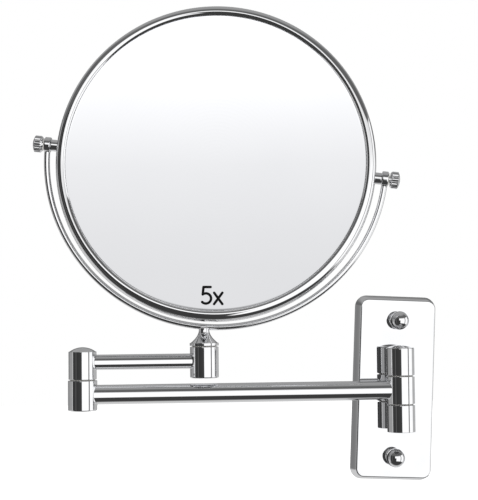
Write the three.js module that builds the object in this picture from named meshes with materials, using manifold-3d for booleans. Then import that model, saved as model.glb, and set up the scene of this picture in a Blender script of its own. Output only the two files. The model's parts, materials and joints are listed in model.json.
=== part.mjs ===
// Extendable shaving mirror: a two-sided round mirror that tilts in a fork, on two swing arms
// that fold along the wall from a cover plate with a three-knuckle hinge.
// Millimetres. +Z up, +X to the right seen from the room, the room on the -Y side.
// The origin is the centre of the wall bracket's back face, which lies on the wall (y = 0).

import * as THREE from 'three';
import { mergeVertices } from 'three/addons/utils/BufferGeometryUtils.js';
import Module from 'manifold-3d';

const wasm = await Module();
wasm.setup();

// ---------------------------------------------------------------- driving dimensions

const FIT = 0.15; // clearance between pieces that touch or slide on each other
const GAP = 0.3; // clearance between pieces that lie in turned frames, and the depth of sunk faces
const PAST = 1; // how far a cutting tool runs past the faces that it opens
const DEG = Math.PI / 180;

// Wall plate, with the bracket and the two studs behind it
const PLATE_WIDTH = 51.9; // of the flat front face
const PLATE_HEIGHT = 121.6;
const PLATE_CORNER = 5.7;
const PLATE_DEPTH = 10.5;
const PLATE_DRAFT = 2.2; // how far each side leans out on its way back to the wall
const PLATE_WALL = 1.2;
const PLATE_LEAN = 2.6 * DEG; // the plate hangs slightly out of plumb
const BRACKET_WIDTH = 30;
const BRACKET_HEIGHT = 106;
const BRACKET_THICK = 2;
const STUD_PITCH = 93;
const STUD_RADIUS = 2.5;
const STUD_COLLAR_RADIUS = 4;
const STUD_COLLAR_THICK = 1.35;
const WALL_SCREW_PITCH = 60;
const WALL_SCREW_RADIUS = 2.6;
const NUT_BALL_RADIUS = 6.4;
const NUT_BALL_CENTRE = 7; // above the plate's face
const NUT_NECK_RADIUS = 4.6;
const NUT_WASHER_RADIUS = 5.2;

// Hinge on the plate
const HINGE_STANDOFF = 17; // hinge axis in front of the plate's face
const HINGE_Y = -(PLATE_DEPTH + HINGE_STANDOFF);
const BARREL_RADIUS = 9.5;
const KNUCKLE_HALF = 9.2; // half height of the middle knuckle
const HINGE_HALF = 28; // half height of the whole hinge
const PIN_RADIUS = 4;
const BUSH_RADIUS = 4.85;
const CAP_RECESS_RADIUS = 6.8;
const CAP_RECESS_DEPTH = 2.2;
const HINGE_CAP_RADIUS = 9.3;
const HINGE_DOME = 2.2;
const SEAM = 0.7; // height of the gap that holds a friction washer
const WASHER_THICK = SEAM - 2 * FIT;
const WASHER_RADIUS = 8.8;
const EDGE = 0.7; // chamfer on the barrels' free ends
const NECK_HALF_WIDTH = 4.5;
const NECK_HALF_HEIGHT = 25;
const NECK_CLEARANCE = 0.4; // between the neck and the middle knuckle
const PAD_DEPTH = 5; // of the blocks that join the neck to the outer knuckles
const BRACKET_SCREW_RADIUS = 1.9;
const BRACKET_SCREW_Z = 18;
const BRACKET_SCREW_REACH = 8.5; // into the neck, from the plate's face
const BRACKET_SCREW_HEAD_RADIUS = 3.4;
const BRACKET_SCREW_HEAD_HEIGHT = 2.4;

// Arms
const LOWER_ARM = 212.3; // axis to axis
const LOWER_TUBE_RADIUS = 6.35;
const UPPER_ARM = 80.3;
const UPPER_TUBE_RADIUS = 5;
const UPPER_TUBE_Z = 21.2;
const TUBE_WALL = 1;
const SPIGOT_REACH = 20; // how far a barrel's spigot reaches into its tube, from the barrel's axis
const COPE_DEPTH = 3; // how far a tube's sides reach round a barrel, past its nearest point

// Elbow
const ELBOW_LOWER_RADIUS = 9.6;
const ELBOW_UPPER_RADIUS = 9.2;
const ELBOW_BOTTOM = -10.5;
const ELBOW_SEAM = 9.7; // middle of the seam between the two barrels
const ELBOW_TOP = 27.9;
const ELBOW_DOME = 3.3;
const NUT_CAVITY_RADIUS = 7;
const PLUG_THICK = 1.5;
const HEAD_CAVITY_DEPTH = 5.8;
const BOLT_HEAD_RADIUS = 5.8;
const BOLT_HEAD_HEIGHT = 3.4;
const THREAD_RADIUS = 2.9;
const THREAD_LENGTH = 5.6;
const SPRING_WASHER_RADIUS = 6;
const SPRING_WASHER_THICK = 1.2;
const NUT_ACROSS_CORNERS = 12;
const NUT_HEIGHT = 3.4;
const ELBOW_LEDGE = 20; // where the nut's cavity starts in the upper barrel

// Head, stem and fork
const HEAD_BOTTOM = 10;
const HEAD_SEAM = 30.9;
const HEAD_LEDGE = 19; // the swivel nut's cavity is below this
const FLANGE_RADIUS = 9.65;
const FLANGE_THICK = 1.9;
const FLANGE_STEP = 0.6; // how far the flange stands out from the foot of the trumpet
const STEM_TOP_RADIUS = 3.5;
const SADDLE_CHEEK = 2.4; // height of the straight wall on either side of the rod
const ROD_Z = 43.8; // fork rod's centre above the lower arm's axis, over the stem
const ROD_RADIUS = 2;
const FORK_HALF_WIDTH = 113.2; // rod centre to the fork's centre line
const FORK_DEPTH = 110; // pivots above the rod's lowest point
const STEM_OFFSET = 2 * DEG; // along the rod, from its lowest point to the stem
const HEAD_YAW = 7 * DEG; // the fork's right arm stands slightly nearer the room
const FORK_LEAN = 6.6 * DEG; // the fork leans to the right on its stem
const EYE_RADIUS = 5.2;
const EYE_THICK = 4.2;
const EYE_BORE = 2.2;
const EYE_START = FORK_HALF_WIDTH - EYE_THICK / 2; // inner face of an eye, from the centre
const ROD_END = 1.4 * DEG; // the rod ends inside its eyes, this far below the pivots

// Mirror
const MIRROR_TILT = -6 * DEG; // the magnifying side looks slightly up
const HOOP_CENTRE = 102.5; // radius of the centre of the hoop's round section
const HOOP_BULGE = 4.5;
const HOOP_WALL = 1.2;
const GLASS_RADIUS = 101.4;
const GLASS_THICK = 2;
const GLASS_FACE = 5.2; // glass faces at the rim, either side of the mirror's middle plane
const CONCAVE_SAG = 5.5;
const SPACER_INNER = 72;
const SPACER_INSET = 0.2; // from the glasses' edge
const BEZEL_CREST = 6.8; // front of the bezel, from the mirror's middle plane
const BEZEL_GROOVE = 0.8; // depth of the groove between the bead and the lip
const BEZEL_BEVEL = 0.6;
const BEZEL_CURL = 0.4; // how far the bead's edge turns in
const LIP_RADIUS = 99.4;
const LIP_CREST_RADIUS = 100.6;
const GROOVE_RADIUS = 101.9;
const BEAD_CREST_RADIUS = 103.7;
const BEAD_OUTER_RADIUS = 105.3;
const BOSS_RADIUS = 3.9;
const BOSS_BORE = 2.1;
const BOSS_SADDLE = 2; // where the boss starts, outside the middle of the hoop's section

// Tilt knobs
const KNOB_RADIUS = 5.6;
const KNOB_START = 116.6; // inner end of the knob's head, from the mirror's centre
const KNOB_END = 123.2;
const KNOB_CHAMFER = 1.1;
const KNOB_CROWN = 1.5; // length of the domed end
const KNOB_FLUTES = 18;
const KNOB_FLUTE_DEPTH = 0.45;
const KNOB_FLUTE_ROUNDING = 0.05; // the flutes' crests stand this far outside the turned head
const KNOB_SCREW_RADIUS = 1.9;
const KNOB_COLLAR_RADIUS = 2.7;
const KNOB_WASHER_RADIUS = 4.2;
const KNOB_SCREW_TIP = 1.3; // from the hoop's outside to the end of the screw

// Facets
const BARREL_SIDES = 24;
const SMALL_SIDES = 14;
const TUBE_SIDES = 20;
const RING_SIDES = 48;
const DISC_SIDES = 40;
const FORK_STEPS = 40;
const FORK_SIDES = 8;
const BALL_STEPS = 7;
const DOME_STEPS = 3;
const FLARE_STEPS = 5;

// ---------------------------------------------------------------- materials

const FINISHES = {
  chrome: { color: 0xd9dbdf, roughness: 0.06, metalness: 1 },
  steel: { color: 0xa9abae, roughness: 0.35, metalness: 1 },
  nylon: { color: 0xe9e7e0, roughness: 0.5, metalness: 0 },
  mirror: { color: 0xe8ecef, roughness: 0.02, metalness: 1 },
  foam: { color: 0x2b2c2e, roughness: 0.9, metalness: 0 },
};

function node(name, finish, geometry) {
  const mesh = new THREE.Mesh(geometry, new THREE.MeshStandardMaterial(FINISHES[finish]));
  mesh.name = name;
  return mesh;
}

// ---------------------------------------------------------------- solids

function toSolid(geometry) {
  const bare = geometry.index ? geometry.clone() : mergeVertices(geometry.clone());
  bare.deleteAttribute('normal');
  bare.deleteAttribute('uv');
  const merged = mergeVertices(bare);
  const corners = merged.index.array;
  const kept = [];
  for (let i = 0; i < corners.length; i += 3) {
    const [a, b, c] = [corners[i], corners[i + 1], corners[i + 2]];
    if (a !== b && b !== c && c !== a) kept.push(a, b, c);
  }
  const mesh = new wasm.Mesh({
    numProp: 3,
    vertProperties: new Float32Array(merged.attributes.position.array),
    triVerts: new Uint32Array(kept),
  });
  return new wasm.Manifold(mesh);
}

function toGeometry(solid) {
  const mesh = solid.getMesh();
  const geometry = new THREE.BufferGeometry();
  geometry.setAttribute('position', new THREE.BufferAttribute(mesh.vertProperties, 3));
  geometry.setIndex(new THREE.BufferAttribute(mesh.triVerts, 1));
  return geometry;
}

function join(base, ...others) {
  const total = others.reduce((sum, other) => sum.add(toSolid(other)), toSolid(base));
  return toGeometry(total);
}

function cut(base, ...tools) {
  const rest = tools.reduce((sum, tool) => sum.subtract(toSolid(tool)), toSolid(base));
  return toGeometry(rest);
}

function common(base, other) {
  return toGeometry(toSolid(base).intersect(toSolid(other)));
}

// Turns a profile of [radius, height] about +Z. The profile runs anticlockwise with the radius to
// the right: from the axis, out, up and back to the axis.
function turned(profile, sides) {
  const points = profile.map(([radius, height]) => new THREE.Vector2(radius, height));
  return new THREE.LatheGeometry(points, sides).rotateX(Math.PI / 2);
}

function ring(profile, sides) {
  return turned([...profile, profile[0]], sides);
}

function rod(radius, bottom, top, sides) {
  return turned([[0, bottom], [radius, bottom], [radius, top], [0, top]], sides);
}

function sleeve(inner, outer, bottom, top, sides) {
  return ring([[inner, bottom], [outer, bottom], [outer, top], [inner, top]], sides);
}

function arc(centreRadius, centreHeight, radius, from, to, steps) {
  const points = [];
  for (let i = 0; i <= steps; i += 1) {
    const angle = from + ((to - from) * i) / steps;
    points.push([centreRadius + radius * Math.cos(angle), centreHeight + radius * Math.sin(angle)]);
  }
  return points;
}

// A shallow dome from a rim of the given radius up to the axis
function dome(rimRadius, rimHeight, rise, steps) {
  const sphere = (rimRadius * rimRadius + rise * rise) / (2 * rise);
  const rimAngle = Math.asin((sphere - rise) / sphere);
  return arc(0, rimHeight + rise - sphere, sphere, rimAngle, Math.PI / 2, steps);
}

function hexNut(bore, acrossCorners, bottom, top) {
  return cut(rod(acrossCorners / 2, bottom, top, 6), rod(bore, bottom - 1, top + 1, SMALL_SIDES));
}

const alongX = (geometry) => geometry.rotateY(Math.PI / 2);
const alongMinusY = (geometry) => geometry.rotateX(Math.PI / 2);

function box(width, depth, height, x, y, z) {
  return new THREE.BoxGeometry(width, depth, height).translate(x, y, z);
}

function placed(position, meshes) {
  const group = new THREE.Group();
  group.position.set(...position);
  group.add(...meshes);
  return group;
}

// ---------------------------------------------------------------- wall plate

function roundedRectangle(width, height, corner) {
  const [x, y] = [width / 2, height / 2];
  const shape = new THREE.Shape();
  shape.moveTo(x, -y + corner);
  shape.lineTo(x, y - corner);
  shape.absarc(x - corner, y - corner, corner, 0, Math.PI / 2);
  shape.lineTo(-x + corner, y);
  shape.absarc(-x + corner, y - corner, corner, Math.PI / 2, Math.PI);
  shape.lineTo(-x, -y + corner);
  shape.absarc(-x + corner, -y + corner, corner, Math.PI, 1.5 * Math.PI);
  shape.lineTo(x - corner, -y);
  shape.absarc(x - corner, -y + corner, corner, 1.5 * Math.PI, 2 * Math.PI);
  return shape;
}

// A block with drafted sides: its front face is the outline, and it grows by the draft to the wall
function draftedBlock(width, height, corner, depth, draft) {
  const core = 1;
  const block = new THREE.ExtrudeGeometry(roundedRectangle(width, height, corner), {
    depth: core,
    bevelEnabled: true,
    bevelThickness: depth - core / 2,
    bevelSize: draft,
    bevelSegments: 1,
    curveSegments: 4,
  });
  block.translate(0, 0, -core / 2);
  const half = common(block, box(2 * width, 2 * height, 2 * depth, 0, 0, depth));
  return alongMinusY(half);
}

function coverPlate() {
  const outer = draftedBlock(PLATE_WIDTH, PLATE_HEIGHT, PLATE_CORNER, PLATE_DEPTH, PLATE_DRAFT);
  const hollow = draftedBlock(
    PLATE_WIDTH - 2 * PLATE_WALL,
    PLATE_HEIGHT - 2 * PLATE_WALL,
    PLATE_CORNER - PLATE_WALL,
    PLATE_DEPTH - PLATE_WALL,
    PLATE_DRAFT,
  );
  const holes = [];
  for (const side of [-1, 1]) {
    const studHole = alongMinusY(rod(STUD_RADIUS + FIT, 0, PLATE_DEPTH + PAST, SMALL_SIDES));
    holes.push(studHole.translate(0, 0, (side * STUD_PITCH) / 2));
    const screwHole = alongMinusY(rod(BRACKET_SCREW_RADIUS + FIT, 0, PLATE_DEPTH + PAST, SMALL_SIDES));
    holes.push(screwHole.rotateY(-PLATE_LEAN).translate(...screwPlace(side)));
  }
  return cut(outer, hollow, ...holes);
}

function wallBracket() {
  const strip = box(BRACKET_WIDTH, BRACKET_THICK, BRACKET_HEIGHT, 0, -BRACKET_THICK / 2, 0);
  const holes = [];
  for (const side of [-1, 1]) {
    for (const [pitch, radius] of [[STUD_PITCH, STUD_RADIUS], [WALL_SCREW_PITCH, WALL_SCREW_RADIUS]]) {
      const hole = alongMinusY(rod(radius + FIT, -PAST, BRACKET_THICK + PAST, SMALL_SIDES));
      holes.push(hole.translate(0, 0, (side * pitch) / 2));
    }
  }
  return cut(strip, ...holes);
}

function bracketStud() {
  const collarStart = BRACKET_THICK + FIT;
  const collarEnd = collarStart + STUD_COLLAR_THICK;
  const tip = PLATE_DEPTH + NUT_BALL_CENTRE - GAP;
  const profile = [
    [0, FIT],
    [STUD_RADIUS, FIT],
    [STUD_RADIUS, collarStart],
    [STUD_COLLAR_RADIUS, collarStart],
    [STUD_COLLAR_RADIUS, collarEnd],
    [STUD_RADIUS, collarEnd],
    [STUD_RADIUS, tip],
    [0, tip],
  ];
  return alongMinusY(turned(profile, SMALL_SIDES));
}

// A ball on a short neck, with a blind bore for the stud
function domeNut() {
  const start = WASHER_THICK + 2 * FIT;
  const neckAngle = -Math.acos(NUT_NECK_RADIUS / NUT_BALL_RADIUS);
  const ball = arc(0, NUT_BALL_CENTRE, NUT_BALL_RADIUS, neckAngle, Math.PI / 2, BALL_STEPS);
  const bore = STUD_RADIUS + FIT;
  const profile = [
    [0, NUT_BALL_CENTRE],
    [bore, NUT_BALL_CENTRE],
    [bore, start],
    [NUT_NECK_RADIUS, start],
    ...ball,
  ];
  return alongMinusY(turned(profile, SMALL_SIDES)).translate(0, -PLATE_DEPTH, 0);
}

function nutWasher() {
  const washer = sleeve(STUD_RADIUS + FIT, NUT_WASHER_RADIUS, FIT, FIT + WASHER_THICK, SMALL_SIDES);
  return alongMinusY(washer).translate(0, -PLATE_DEPTH, 0);
}

function wallPlate() {
  const group = new THREE.Group();
  group.rotation.y = PLATE_LEAN;
  group.add(node('wall_bracket', 'steel', wallBracket()));
  group.add(node('cover_plate', 'chrome', coverPlate()));
  for (const [side, label] of [[1, 'upper'], [-1, 'lower']]) {
    group.add(placed([0, 0, (side * STUD_PITCH) / 2], [
      node(`stud_${label}`, 'steel', bracketStud()),
      node(`dome_nut_${label}`, 'chrome', domeNut()),
      node(`nut_washer_${label}`, 'nylon', nutWasher()),
    ]));
  }
  return group;
}

// ---------------------------------------------------------------- hinge on the plate

// Where a bracket screw crosses the wall, in the leaning plate's own frame
function screwPlace(side) {
  const z = side * BRACKET_SCREW_Z;
  return [-z * Math.sin(PLATE_LEAN), 0, z * Math.cos(PLATE_LEAN)];
}

// Two bored knuckles on a neck that stands on the plate, in the hinge's own frame
function hingeBracket() {
  const knuckle = turned([
    [0, KNUCKLE_HALF + SEAM],
    [BARREL_RADIUS, KNUCKLE_HALF + SEAM],
    [BARREL_RADIUS, HINGE_HALF],
    [0, HINGE_HALF],
  ], BARREL_SIDES);
  const lowerKnuckle = turned([
    [0, -HINGE_HALF],
    [BARREL_RADIUS - EDGE, -HINGE_HALF],
    [BARREL_RADIUS, -HINGE_HALF + EDGE],
    [BARREL_RADIUS, -KNUCKLE_HALF - SEAM],
    [0, -KNUCKLE_HALF - SEAM],
  ], BARREL_SIDES);
  const neckFront = BARREL_RADIUS + NECK_CLEARANCE;
  const neckBack = HINGE_STANDOFF - FIT;
  const neckDepth = neckBack - neckFront;
  const width = 2 * NECK_HALF_WIDTH;
  const neck = box(width, neckDepth, 2 * NECK_HALF_HEIGHT, 0, neckFront + neckDepth / 2, 0);
  const padHeight = NECK_HALF_HEIGHT - KNUCKLE_HALF - SEAM;
  const padZ = KNUCKLE_HALF + SEAM + padHeight / 2;
  const padY = neckFront + FIT - PAD_DEPTH / 2;
  const pads = [-1, 1].map((side) => box(width, PAD_DEPTH, padHeight, 0, padY, side * padZ));
  const body = join(knuckle, lowerKnuckle, neck, ...pads);
  const bore = rod(PIN_RADIUS + FIT, -HINGE_HALF - PAST, HINGE_HALF + PAST, SMALL_SIDES);
  const recesses = [-1, 1].map((side) => {
    const recess = rod(CAP_RECESS_RADIUS, HINGE_HALF - CAP_RECESS_DEPTH, HINGE_HALF + PAST, BARREL_SIDES);
    return side > 0 ? recess : recess.rotateX(Math.PI);
  });
  const screwHoles = [-1, 1].map((side) => {
    const hole = rod(BRACKET_SCREW_RADIUS + FIT, -PAST, BRACKET_SCREW_REACH + GAP, SMALL_SIDES);
    return alongMinusY(hole).translate(0, HINGE_STANDOFF, side * BRACKET_SCREW_Z);
  });
  return cut(body, bore, ...recesses, ...screwHoles);
}

function bracketScrew() {
  const headTop = -PLATE_WALL - FIT;
  const headBottom = headTop - BRACKET_SCREW_HEAD_HEIGHT;
  const profile = [
    [0, headBottom],
    [BRACKET_SCREW_HEAD_RADIUS, headBottom],
    [BRACKET_SCREW_HEAD_RADIUS, headTop],
    [BRACKET_SCREW_RADIUS, headTop],
    [BRACKET_SCREW_RADIUS, BRACKET_SCREW_REACH],
    [0, BRACKET_SCREW_REACH],
  ];
  return alongMinusY(turned(profile, SMALL_SIDES)).translate(0, HINGE_STANDOFF, 0);
}

// A domed cap with a low rim, and a plug that fills the recess below it
function domedCap(rimRadius, seat, rise, plugRadius, plugDepth) {
  const rimBottom = seat + FIT;
  const rimTop = rimBottom + GAP;
  return turned([
    [0, seat - plugDepth],
    [plugRadius, seat - plugDepth],
    [plugRadius, rimBottom],
    [rimRadius, rimBottom],
    ...dome(rimRadius, rimTop, seat + rise - rimTop, DOME_STEPS),
  ], BARREL_SIDES);
}

// A round plug sunk into the bottom of a barrel
function sunkPlug(radius, barrelBottom, thick) {
  return rod(radius - FIT, barrelBottom + GAP, barrelBottom + GAP + thick, SMALL_SIDES);
}

// A nylon washer that a barrel turns on
function frictionWasher(start) {
  return sleeve(PIN_RADIUS + FIT, WASHER_RADIUS, start, start + WASHER_THICK, BARREL_SIDES);
}

function bush(bottom, top) {
  return sleeve(PIN_RADIUS + FIT, BUSH_RADIUS, bottom, top, SMALL_SIDES);
}

function springWasher(bottom) {
  const top = bottom + SPRING_WASHER_THICK;
  return sleeve(THREAD_RADIUS + FIT, SPRING_WASHER_RADIUS, bottom, top, SMALL_SIDES);
}

function lockNut(bottom) {
  return hexNut(THREAD_RADIUS + FIT, NUT_ACROSS_CORNERS, bottom, bottom + NUT_HEIGHT);
}

function wallHinge() {
  const washerStart = KNUCKLE_HALF + FIT;
  const plugThick = CAP_RECESS_DEPTH - FIT - GAP;
  const cap = domedCap(
    HINGE_CAP_RADIUS,
    HINGE_HALF,
    HINGE_DOME,
    CAP_RECESS_RADIUS - FIT,
    CAP_RECESS_DEPTH - 2 * FIT,
  );
  const pinHalf = HINGE_HALF - CAP_RECESS_DEPTH - FIT;
  const meshes = [
    node('hinge_bracket', 'chrome', hingeBracket()),
    node('hinge_pin', 'steel', rod(PIN_RADIUS, -pinHalf, pinHalf, SMALL_SIDES)),
    node('hinge_cap', 'chrome', cap),
    node('hinge_plug', 'chrome', sunkPlug(CAP_RECESS_RADIUS, -HINGE_HALF, plugThick)),
    node('hinge_washer_upper', 'nylon', frictionWasher(washerStart)),
    node('hinge_washer_lower', 'nylon', frictionWasher(-washerStart - WASHER_THICK)),
  ];
  for (const [side, label] of [[1, 'upper'], [-1, 'lower']]) {
    const screw = bracketScrew().translate(0, 0, side * BRACKET_SCREW_Z);
    meshes.push(node(`bracket_screw_${label}`, 'steel', screw));
  }
  return placed([0, HINGE_Y, 0], meshes);
}

// ---------------------------------------------------------------- arms

// A tube along X between two barrels, its ends coped to fit round them
function copedTube(radius, z, leftAxis, rightAxis, leftBarrel, rightBarrel) {
  const left = leftAxis + leftBarrel - COPE_DEPTH;
  const right = rightAxis - rightBarrel + COPE_DEPTH;
  const tube = alongX(sleeve(radius - TUBE_WALL, radius, left, right, TUBE_SIDES)).translate(0, 0, z);
  const reach = radius + PAST;
  const copes = [[leftAxis, leftBarrel], [rightAxis, rightBarrel]].map(([axis, barrel]) => (
    rod(barrel + FIT, z - reach, z + reach, BARREL_SIDES).translate(axis, 0, 0)
  ));
  return cut(tube, ...copes);
}

function spigot(tubeRadius, z, direction) {
  const radius = tubeRadius - TUBE_WALL - FIT;
  const plug = alongX(rod(radius, 0, SPIGOT_REACH, SMALL_SIDES));
  return (direction > 0 ? plug : plug.rotateZ(Math.PI)).translate(0, 0, z);
}

function wallKnuckle() {
  const barrel = rod(BARREL_RADIUS, -KNUCKLE_HALF, KNUCKLE_HALF, BARREL_SIDES);
  const body = join(barrel, spigot(LOWER_TUBE_RADIUS, 0, -1));
  return cut(body, rod(BUSH_RADIUS + FIT, -KNUCKLE_HALF - PAST, KNUCKLE_HALF + PAST, SMALL_SIDES));
}

function elbowLowerBarrel() {
  const top = ELBOW_SEAM - SEAM / 2;
  const barrel = turned([
    [0, ELBOW_BOTTOM],
    [ELBOW_LOWER_RADIUS - EDGE, ELBOW_BOTTOM],
    [ELBOW_LOWER_RADIUS, ELBOW_BOTTOM + EDGE],
    [ELBOW_LOWER_RADIUS, top],
    [0, top],
  ], BARREL_SIDES);
  const body = join(barrel, spigot(LOWER_TUBE_RADIUS, 0, 1));
  const bore = rod(PIN_RADIUS + FIT, ELBOW_BOTTOM - PAST, top + PAST, SMALL_SIDES);
  const cavityTop = ELBOW_BOTTOM + HEAD_CAVITY_DEPTH;
  const headCavity = rod(NUT_CAVITY_RADIUS, ELBOW_BOTTOM - PAST, cavityTop, BARREL_SIDES);
  return cut(body, bore, headCavity);
}

function elbowUpperBarrel() {
  const bottom = ELBOW_SEAM + SEAM / 2;
  const barrel = rod(ELBOW_UPPER_RADIUS, bottom, ELBOW_TOP, BARREL_SIDES);
  const body = join(barrel, spigot(UPPER_TUBE_RADIUS, UPPER_TUBE_Z, 1));
  const bore = rod(BUSH_RADIUS + FIT, bottom - PAST, ELBOW_TOP + PAST, SMALL_SIDES);
  const nutCavity = rod(NUT_CAVITY_RADIUS, ELBOW_LEDGE, ELBOW_TOP + PAST, BARREL_SIDES);
  return cut(body, bore, nutCavity);
}

// The bolt that the upper arm turns on: head below, thread and nut inside the upper barrel
function elbowBolt() {
  const headTop = ELBOW_BOTTOM + HEAD_CAVITY_DEPTH - FIT;
  const headBottom = headTop - BOLT_HEAD_HEIGHT;
  const shoulder = ELBOW_LEDGE - FIT;
  const tip = ELBOW_LEDGE + THREAD_LENGTH;
  return turned([
    [0, headBottom],
    [BOLT_HEAD_RADIUS, headBottom],
    [BOLT_HEAD_RADIUS, headTop],
    [PIN_RADIUS, headTop],
    [PIN_RADIUS, shoulder],
    [THREAD_RADIUS, shoulder],
    [THREAD_RADIUS, tip],
    [0, tip],
  ], SMALL_SIDES);
}

function lowerArm() {
  const elbowX = -LOWER_ARM;
  const tube = copedTube(LOWER_TUBE_RADIUS, 0, elbowX, 0, ELBOW_LOWER_RADIUS, BARREL_RADIUS);
  const bushEnd = KNUCKLE_HALF - FIT;
  const springStart = ELBOW_LEDGE + FIT;
  const nutStart = springStart + SPRING_WASHER_THICK + FIT;
  const elbow = placed([elbowX, 0, 0], [
    node('elbow_lower_barrel', 'chrome', elbowLowerBarrel()),
    node('elbow_bolt', 'steel', elbowBolt()),
    node('elbow_plug', 'chrome', sunkPlug(NUT_CAVITY_RADIUS, ELBOW_BOTTOM, PLUG_THICK)),
    node('elbow_washer', 'nylon', frictionWasher(ELBOW_SEAM - WASHER_THICK / 2)),
    node('elbow_spring_washer', 'steel', springWasher(springStart)),
    node('elbow_nut', 'steel', lockNut(nutStart)),
  ]);
  return placed([0, HINGE_Y, 0], [
    node('wall_knuckle', 'chrome', wallKnuckle()),
    node('knuckle_bush_upper', 'nylon', bush(FIT, bushEnd)),
    node('knuckle_bush_lower', 'nylon', bush(-bushEnd, -FIT)),
    node('lower_tube', 'chrome', tube),
    elbow,
  ]);
}

function headBarrel() {
  const top = HEAD_SEAM - SEAM / 2;
  const barrel = turned([
    [0, HEAD_BOTTOM],
    [BARREL_RADIUS - EDGE, HEAD_BOTTOM],
    [BARREL_RADIUS, HEAD_BOTTOM + EDGE],
    [BARREL_RADIUS, top],
    [0, top],
  ], BARREL_SIDES);
  const body = join(barrel, spigot(UPPER_TUBE_RADIUS, UPPER_TUBE_Z, -1));
  const bore = rod(BUSH_RADIUS + FIT, HEAD_BOTTOM - PAST, top + PAST, SMALL_SIDES);
  const nutCavity = rod(NUT_CAVITY_RADIUS, HEAD_BOTTOM - PAST, HEAD_LEDGE, BARREL_SIDES);
  return cut(body, bore, nutCavity);
}

function upperArm() {
  const tube = copedTube(
    UPPER_TUBE_RADIUS,
    UPPER_TUBE_Z,
    0,
    UPPER_ARM,
    ELBOW_UPPER_RADIUS,
    BARREL_RADIUS,
  );
  const cap = domedCap(
    ELBOW_UPPER_RADIUS,
    ELBOW_TOP,
    ELBOW_DOME,
    NUT_CAVITY_RADIUS - FIT,
    PLUG_THICK,
  );
  const elbowBush = bush(ELBOW_SEAM + SEAM / 2 + FIT, ELBOW_LEDGE - FIT);
  const headBush = bush(HEAD_LEDGE + FIT, HEAD_SEAM - SEAM / 2 - FIT);
  const head = placed([UPPER_ARM, 0, 0], [
    node('head_barrel', 'chrome', headBarrel()),
    node('head_bush', 'nylon', headBush),
    node('head_plug', 'chrome', sunkPlug(NUT_CAVITY_RADIUS, HEAD_BOTTOM, PLUG_THICK)),
    node('head_washer', 'nylon', frictionWasher(HEAD_SEAM - WASHER_THICK / 2)),
  ]);
  return placed([-LOWER_ARM, HINGE_Y, 0], [
    node('elbow_upper_barrel', 'chrome', elbowUpperBarrel()),
    node('elbow_bush', 'nylon', elbowBush),
    node('elbow_cap', 'chrome', cap),
    node('upper_tube', 'chrome', tube),
    head,
  ]);
}

// ---------------------------------------------------------------- fork

// The fork's own frame has its origin where the stem holds the rod, and +X along the pivots' axis.
const FORK_CENTRE_X = -FORK_HALF_WIDTH * Math.sin(STEM_OFFSET);
const PIVOT_Z = FORK_DEPTH * Math.cos(STEM_OFFSET);

// The rod's centre line: half an ellipse below the two pivots, in the plane y = 0
class ForkCurve extends THREE.Curve {
  constructor(from, to) {
    super();
    this.from = from;
    this.to = to;
  }

  getPoint(t, target = new THREE.Vector3()) {
    const angle = this.from + (this.to - this.from) * t;
    const x = FORK_CENTRE_X + FORK_HALF_WIDTH * Math.cos(angle);
    return target.set(x, 0, PIVOT_Z + FORK_DEPTH * Math.sin(angle));
  }
}

function roundSection(radius, sides) {
  const corners = [];
  for (let i = 0; i < sides; i += 1) {
    const angle = (2 * Math.PI * i) / sides;
    corners.push(new THREE.Vector2(radius * Math.cos(angle), radius * Math.sin(angle)));
  }
  return new THREE.Shape(corners);
}

function bentRod(radius) {
  return new THREE.ExtrudeGeometry(roundSection(radius, FORK_SIDES), {
    steps: FORK_STEPS,
    bevelEnabled: false,
    extrudePath: new ForkCurve(Math.PI + ROD_END, 2 * Math.PI - ROD_END),
  });
}

// The U rod, with a flat eye at each end for the knob's screw
function forkRod() {
  const eyes = [-1, 1].map((side) => {
    const eye = rod(EYE_RADIUS, EYE_START, EYE_START + EYE_THICK, BARREL_SIDES);
    return eye.rotateY((side * Math.PI) / 2).translate(FORK_CENTRE_X, 0, PIVOT_Z);
  });
  const boreHalf = EYE_START + EYE_THICK + PAST;
  const bore = alongX(rod(EYE_BORE, -boreHalf, boreHalf, SMALL_SIDES));
  return cut(join(bentRod(ROD_RADIUS), ...eyes), bore.translate(FORK_CENTRE_X, 0, PIVOT_Z));
}

// Spigot, flange and trumpet in one turning, with a saddle for the rod on top
function swivelStem() {
  const flangeBottom = HEAD_SEAM + SEAM / 2;
  const flangeTop = flangeBottom + FLANGE_THICK;
  const flareTop = ROD_Z - SADDLE_CHEEK;
  const footRadius = FLANGE_RADIUS - FLANGE_STEP;
  const flare = [];
  for (let i = 0; i <= FLARE_STEPS; i += 1) {
    const t = 1 - i / FLARE_STEPS;
    const radius = STEM_TOP_RADIUS + (footRadius - STEM_TOP_RADIUS) * t * t;
    flare.push([radius, flareTop - (flareTop - flangeTop) * t]);
  }
  const threadEnd = HEAD_LEDGE - THREAD_LENGTH;
  const blank = turned([
    [0, threadEnd],
    [THREAD_RADIUS, threadEnd],
    [THREAD_RADIUS, HEAD_LEDGE + FIT],
    [PIN_RADIUS, HEAD_LEDGE + FIT],
    [PIN_RADIUS, flangeBottom],
    [FLANGE_RADIUS, flangeBottom],
    [FLANGE_RADIUS, flangeTop],
    ...flare,
    [STEM_TOP_RADIUS, ROD_Z],
    [0, ROD_Z],
  ], BARREL_SIDES);
  const saddle = bentRod(ROD_RADIUS + FIT).rotateY(FORK_LEAN).translate(0, 0, ROD_Z);
  return cut(blank, saddle);
}

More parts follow.
